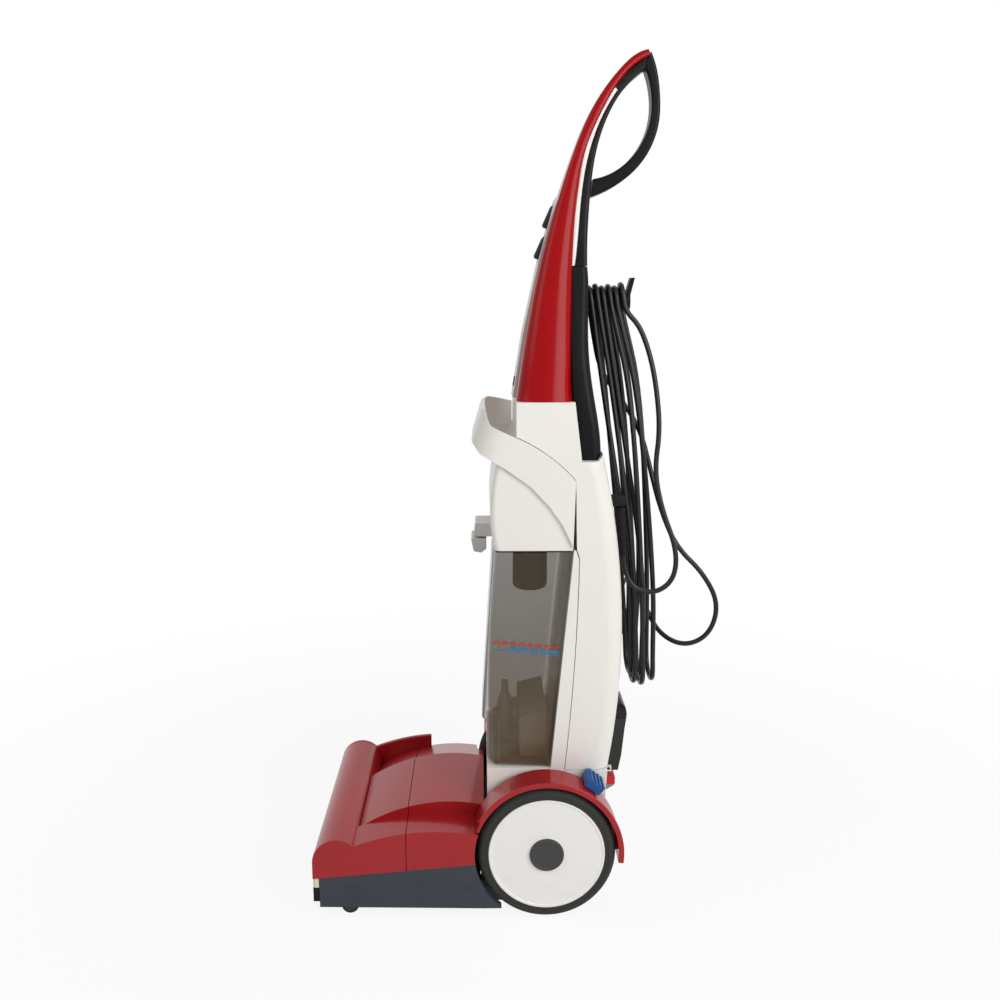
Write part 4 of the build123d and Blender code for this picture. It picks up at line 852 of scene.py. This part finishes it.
class SCRUBBER_OT_stage(bpy.types.Operator):
    """Camera, floor, lamps and room light"""

    bl_idname = "scrubber.stage"
    bl_label = "Set the stage"

    def execute(self, context):
        scene, settings = context.scene, context.scene.scrubber.stage
        scene.view_settings.view_transform = "Standard"
        lens = bpy.data.cameras.new("camera")
        lens.lens = settings.lens
        lens.sensor_width = SENSOR
        camera = linked("camera", lens)
        camera.location = settings.camera
        camera.rotation_euler = (settings.pitch, 0.0, settings.yaw)
        scene.camera = camera

        bm = bmesh.new()
        bmesh.ops.create_grid(bm, x_segments=2, y_segments=2, size=FLOOR_HALF)
        floor = shaped("floor", bm)
        floor.data.materials.append(self.floor_finish())

        scene.world = self.room(settings.around)
        for name, place, target, size in LAMPS:
            self.lamp(f"{name}_lamp", Vector(place), Vector(target), size, getattr(settings, name))
        return {"FINISHED"}

    def seen(self, finish):
        """1 for rays from the camera, a reflection or clear plastic."""
        kinds = ("Camera", "Glossy", "Transmission")
        rays = [finish.node("ShaderNodeLightPath", out=f"Is {kind} Ray") for kind in kinds]
        total = rays[0] + rays[1] + rays[2]
        return finish.node("ShaderNodeMath", {"operation": "MINIMUM"}, {0: total, 1: 1.0})

    def floor_finish(self):
        """Pale floor that turns white away from the machine and keeps a faint shadow under it."""
        f = Finish("floor")
        f.surface(Base_Color=FLOOR_GREY, Roughness=0.7, Specular_IOR_Level=0.1)
        far = f.node("ShaderNodeVectorMath", {"operation": "LENGTH"}, {0: f.place()}, "Value")
        white = FLOOR_WHITE + f.fade(far, FLOOR_NEAR, FLOOR_FAR) * (1 - FLOOR_WHITE)
        glow = f.node("ShaderNodeEmission", None, {"Color": WHITE, "Strength": 1.0})
        shader = Value(f, f.shader.outputs[0])
        blend = f.node("ShaderNodeMixShader", None, {0: white * self.seen(f), 1: shader, 2: glow})
        f.feed(f.tree.nodes["Material Output"].inputs[0], blend)
        return f.owner

    def room(self, around):
        """White where it is seen, and a softer light on the machine."""
        f = Finish("room", bpy.data.worlds.new("room"), "Background")
        f.surface(Color=WHITE, Strength=around + self.seen(f) * (1 - around))
        return f.owner

    def lamp(self, name, place, target, size, watts):
        """Square soft lamp that faces a point."""
        light = bpy.data.lights.new(name, "AREA")
        light.size = size
        light.energy = watts
        lamp = linked(name, light)
        lamp.location = place
        lamp.rotation_euler = (target - place).to_track_quat("-Z", "Y").to_euler()


class SCRUBBER_OT_finishes(bpy.types.Operator):
    """Mixes every finish and paints the CAD nodes with them"""

    bl_idname = "scrubber.finishes"
    bl_label = "Mix the finishes"

    def execute(self, context):
        mix_finishes(context.scene.scrubber.colours)
        for node, slot in NODE_SLOT.items():
            materials = NODES[node].data.materials
            materials.clear()
            materials.append(FINISHES[slot])
        return {"FINISHED"}


class SCRUBBER_OT_cord(bpy.types.Operator):
    """Mains cord with its boot and plug"""

    bl_idname = "scrubber.cord"
    bl_label = "Hang the cord"

    def execute(self, context):
        sizes = context.scene.scrubber.sizes
        curve = bpy.data.curves.new("mains_cord", "CURVE")
        curve.dimensions = "3D"
        curve.bevel_depth = sizes.cord / 2
        curve.bevel_resolution = 4
        curve.resolution_u = 8
        curve.use_fill_caps = True
        route = [*LEAD, *self.hank(), *TAIL]
        spline = curve.splines.new("NURBS")
        spline.points.add(len(route) - 1)
        for point, place in zip(spline.points, route):
            point.co = (*place, 1.0)
        spline.order_u = 3
        spline.use_endpoint_u = True
        cord = linked("mains_cord", curve)
        settle(cord, "cord", "upright", ["cord_lead", "cord_hank", "cord_tail"])
        self.boot()
        plug, pins = self.plug()
        return {"FINISHED"}

    def hank(self):
        """Over the hook once for each loop, and down and back up between one and the next."""
        points = []
        for i in range(LOOPS):
            top_x = FIRST_LOOP_X - LOOP_PITCH * i
            lift = LOOP_LIFT[i]
            points += [(top_x - TOP_LEAN * (z - HOOK_Z), y, z + lift) for y, z in OVER_HOOK]
            if i < LOOPS - 1:
                points += self.drop(i, top_x)
        return points

    def drop(self, i, top_x):
        """Down a loop's far run, round its foot and up its near run."""
        foot_x = FOOT_X - FOOT_PITCH * i
        foot_z, half = FOOT_Z[i], FOOT_HALF[i]
        high_z, low_z = HOOK_Z - RUN, foot_z + RUN
        high_x, low_x = top_x + TOP_LEAN * RUN, foot_x - FOOT_LEAN * RUN
        bow_x = foot_x + FOOT_STRAY[i]
        (far_x, far_y, far_low), (near_x, near_y, near_low) = FAR_STRAY[i], NEAR_STRAY[i]
        return [
            (high_x + far_x, OVER_HOOK[-1][0] + far_y, high_z),
            (low_x + far_low, half, low_z),
            *[(bow_x - FOOT_LEAN * z * half, y * half, foot_z + z * half) for y, z in ROUND_FOOT],
            (low_x + near_low, -half, low_z),
            (high_x - LOOP_PITCH + near_x, OVER_HOOK[0][0] + near_y, high_z),
        ]

    def boot(self):
        """Square nut on the housing and a ribbed cone that lets the cord bend gently."""
        bm = bmesh.new()
        reach = Vector((NUT_HALF, NUT_HALF, NUT_HALF))
        bar(bm, GLAND - reach - Vector((NUT_ROOT, 0.0, 0.0)), GLAND + reach, NUT_ROUND)
        axis, long = (BOOT_FOOT - GLAND).normalized(), (BOOT_FOOT - GLAND).length
        pitch = (long - RIBS_FROM - RIBS_SHORT_OF_TIP) / BOOT_RIBS
        outline = [(0.0, BOOT_ROOT)]
        for i in range(BOOT_RIBS):
            r, start = RIB_RADIUS - RIB_TAPER * i / BOOT_RIBS, RIBS_FROM + pitch * i
            outline += [(r - cut, start + pitch * share) for cut, share in RIB_STEPS]
        outline += [(r, long - back) for r, back in BOOT_TIP]
        turn(bm, outline, GLAND, axis, steps=40)
        piece("cord_boot", bm, "rubber", "upright", ["cord_gland"])

    def plug(self):
        """Round plug with a ribbed grip, and its two pins."""
        outline = [*PLUG_NECK]
        for i in range(PLUG_RIBS):
            start = PLUG_RIBS_FROM + PLUG_RIB_PITCH * i
            outline += [(r, start + h) for r, h in PLUG_RIB]
        outline += PLUG_FACE
        bm = bmesh.new()
        turn(bm, outline, PLUG_TOP, DOWN, steps=64)
        plug = piece("plug_body", bm, "cord", "upright", ["mains_plug"])
        bm = bmesh.new()
        for side in (-PIN_HALF_GAP, PIN_HALF_GAP):
            turn(bm, PIN, PLUG_TOP + Vector((side, 0.0, -PIN_FROM)), DOWN, steps=24)
        pins = piece("plug_pins", bm, "steel", "upright")
        return plug, pins


class SCRUBBER_OT_wheels(bpy.types.Operator):
    """Tyres, discs and hub caps of the rear wheels, and the front rollers"""

    bl_idname = "scrubber.wheels"
    bl_label = "Turn the wheels"

    def execute(self, context):
        groove = context.scene.scrubber.sizes.groove
        for name, out in (("left", LEFT), ("right", -LEFT)):
            self.tyre(name, out, groove)
            self.disc(name, out)
            self.cap(name, out)
            self.roller(name)
        return {"FINISHED"}

    def tyre(self, name, out, groove):
        """Round-shouldered tyre with a ring let into each side and three grooves."""
        centre, half, radius = spread(f"{name}_tyre")
        side = [(radius - r, half - h) for r, h in TYRE_SHOULDER]
        side += [(radius - groove * cut, h) for cut, h in TYRE_GROOVES]
        bm = bmesh.new()
        turn(bm, mirrored(side), centre, out, steps=128, closed=True)
        piece(f"{name}_tread", bm, "tyre", f"{name}_wheel", [f"{name}_tyre"], WHEEL_SHARP)

    def disc(self, name, out):
        """Dished plate with a rolled rim, a step near it and a hub."""
        centre, half, _ = spread(f"{name}_tyre")
        wall, web = DISC_RIM - DISC_WALL, half - DISC_WEB
        outline = [(r, half - h) for r, h in DISC_FACE]
        outline += [(DISC_RIM, -half), (wall, -half), (wall, web)]
        outline += [(DISC_HUB, web), (DISC_HUB, -half), (DISC_BORE, -half)]
        bm = bmesh.new()
        turn(bm, outline, centre, out, steps=128, closed=True)
        node = f"{name}_wheel_disc"
        piece(f"{name}_disc", bm, "wheel_white", f"{name}_wheel", [node], WHEEL_SHARP)

    def cap(self, name, out):
        """Low cap with a raised ring at its rim."""
        centre, half, radius = spread(f"{name}_hub_cap")
        outline = [(0.0, -half), (radius, -half)]
        outline += [(radius - r, half - h) for r, h in CAP_RIM]
        outline += [(r, half - h) for r, h in CAP_CROWN]
        bm = bmesh.new()
        turn(bm, outline, centre, out, steps=80)
        piece(f"{name}_cap", bm, "cap_grey", f"{name}_wheel", [f"{name}_hub_cap"], WHEEL_SHARP)

    def roller(self, name):
        """Small roller with a stepped face and one groove."""
        centre, half, radius = spread(f"{name}_front_roller")
        side = [(r, half - h) for r, h in ROLLER_FACE]
        side += [(radius - r, half - h) for r, h in ROLLER_SHOULDER]
        side += [(radius - r, h) for r, h in ROLLER_GROOVE]
        bm = bmesh.new()
        turn(bm, mirrored(side), centre, LEFT, steps=48, closed=True)
        node = f"{name}_front_roller"
        piece(f"{name}_roller_tread", bm, "cap_grey", f"{name}_roller", [node])


class SCRUBBER_OT_base(bpy.types.Operator):
    """Covers, fenders, chassis, front strips, squeegee and pedals of the base"""

    bl_idname = "scrubber.base"
    bl_label = "Dress the base"

    def execute(self, context):
        dress(BASE_SKINS, context.scene.scrubber.sizes.edge)
        return {"FINISHED"}


class SCRUBBER_OT_brush(bpy.types.Operator):
    """Rows of tufts that wind round the brush core"""

    bl_idname = "scrubber.brush"
    bl_label = "Set the brush"

    def execute(self, context):
        sizes = context.scene.scrubber.sizes
        centre, half, radius = spread("brush_bristles")
        first = centre.y - half + 2 * sizes.tuft
        gap = (2 * half - 4 * sizes.tuft) / (TUFTS_IN_ROW - 1)
        out = Matrix.Translation((0.0, 0.0, (TUFT_ROOT + radius) / 2))
        bm = bmesh.new()
        for row in range(sizes.rows):
            for i in range(TUFTS_IN_ROW):
                turned = math.tau * (row / sizes.rows + ROW_WINDS * i / TUFTS_IN_ROW)
                place = Matrix.Translation((centre.x, first + gap * i, centre.z))
                bmesh.ops.create_cone(
                    bm,
                    cap_ends=True,
                    segments=TUFT_SIDES,
                    radius1=sizes.tuft,
                    radius2=sizes.tuft * TUFT_FLARE,
                    depth=radius - TUFT_ROOT,
                    matrix=place @ Matrix.Rotation(turned, 4, "Y") @ out,
                )
        piece("brush_tufts", bm, "bristle", "brush", ["brush_bristles"])
        dressed("brush_core", sizes.edge, segments=2)
        return {"FINISHED"}


class SCRUBBER_OT_body(bpy.types.Operator):
    """Cream body, exhaust box, handle and its fittings"""

    bl_idname = "scrubber.body"
    bl_label = "Dress the body"

    def execute(self, context):
        edge = context.scene.scrubber.sizes.edge
        dress(BODY_SKINS, edge)
        for name, z in ROCKERS:
            self.rocker(name, z)
        dress(PANEL_SKINS, edge)
        self.slats()
        return {"FINISHED"}

    def rocker(self, name, z):
        """Wedge that stands furthest out of the panel at its foot."""
        middle = Vector((PANEL_X + PANEL_LEAN * (z - PANEL_Z), 0.0, z))
        corners = [middle + PANEL_ALONG * s + PANEL_OUT * t for s, t in ROCKER_SIDE]
        bm = bmesh.new()
        slab(bm, corners, ROCKER_HALF, ROCKER_ROUND)
        node = f"{name}_switch"
        piece(f"{node}_cap", bm, "switch_dark", f"{name}_rocker", [node], ROCKER_SHARP)

    def slats(self):
        """Louvre bars across the back of the exhaust box."""
        bm = bmesh.new()
        for i in range(SLATS):
            z = SLAT_Z + SLAT_PITCH * i
            spot = Vector((BOX_BACK + (z - BOX_FOOT) * BOX_LEAN, 0.0, z))
            bar(bm, spot + SLAT_LOW, spot + SLAT_HIGH, SLAT_ROUND)
        piece("exhaust_slats", bm, "box_grey", "filter_door")


class SCRUBBER_OT_tank(bpy.types.Operator):
    """Smoky recovery tank with its lid, carry loop, latch and level marks"""

    bl_idname = "scrubber.tank"
    bl_label = "Dress the tank"

    def execute(self, context):
        sizes = context.scene.scrubber.sizes
        dress(TANK_SKINS, sizes.edge)
        # The standpipe is coloured lighter than its own colour, as painted light inside the dark
        # tank
        dressed("standpipe", sizes.edge * STANDPIPE_ROUND, segments=3, slot="murk")
        self.marks(sizes.mark)
        return {"FINISHED"}

    def marks(self, thick):
        """Dashed red line over a blue one on the tank's left side, falling a little to the rear."""
        start = Vector((MARK_X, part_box("recovery_tank")[0].y, MARK_Z))
        fall = Matrix.Rotation(MARK_FALL, 3, "Y")
        for name, ink, count, pitch, dash, high, line in MARKS:
            indent = MARK_LONG - pitch * count
            strokes = [(indent + pitch * i, dash, high) for i in range(count)]
            strokes.append((0.0, MARK_LONG, line))
            bm = bmesh.new()
            for x, long, (low_z, high_z) in strokes:
                low = start + Vector((x, -thick, low_z))
                bar(bm, low, low + Vector((long, 2 * thick, high_z - low_z)))
            bmesh.ops.rotate(bm, verts=bm.verts, cent=start, matrix=fall)
            piece(name, bm, ink, "tank")


class SCRUBBER_PT_panel(bpy.types.Panel):
    """Lists the makers of the scrubber's pieces"""

    bl_idname = "SCRUBBER_PT_panel"
    bl_label = "Floor Scrubber"
    bl_space_type = "VIEW_3D"
    bl_region_type = "UI"
    bl_category = "Scrubber"

    def draw(self, context):
        for maker in OPERATORS:
            self.layout.operator(maker.bl_idname)
        settings = context.scene.scrubber
        for group in (settings.colours, settings.sizes, settings.stage):
            box = self.layout.box()
            for name in group.__annotations__:
                box.prop(group, name)


OPERATORS = (
    SCRUBBER_OT_stage,
    SCRUBBER_OT_finishes,
    SCRUBBER_OT_cord,
    SCRUBBER_OT_wheels,
    SCRUBBER_OT_base,
    SCRUBBER_OT_brush,
    SCRUBBER_OT_body,
    SCRUBBER_OT_tank,
)
GROUPS = (ScrubberColours, ScrubberSizes, StageSettings, ScrubberSettings)
CLASSES = (*GROUPS, *OPERATORS, SCRUBBER_PT_panel)


def register():
    for cls in CLASSES:
        bpy.utils.register_class(cls)
    bpy.types.Scene.scrubber = PointerProperty(type=ScrubberSettings)


def unregister():
    del bpy.types.Scene.scrubber
    for cls in reversed(CLASSES):
        bpy.utils.unregister_class(cls)


def main():
    register()
    bpy.ops.scrubber.stage()
    bpy.ops.scrubber.finishes()
    bpy.ops.scrubber.cord()
    bpy.ops.scrubber.wheels()
    bpy.ops.scrubber.base()
    bpy.ops.scrubber.brush()
    bpy.ops.scrubber.body()
    bpy.ops.scrubber.tank()


if __name__ == "__main__":
    main()
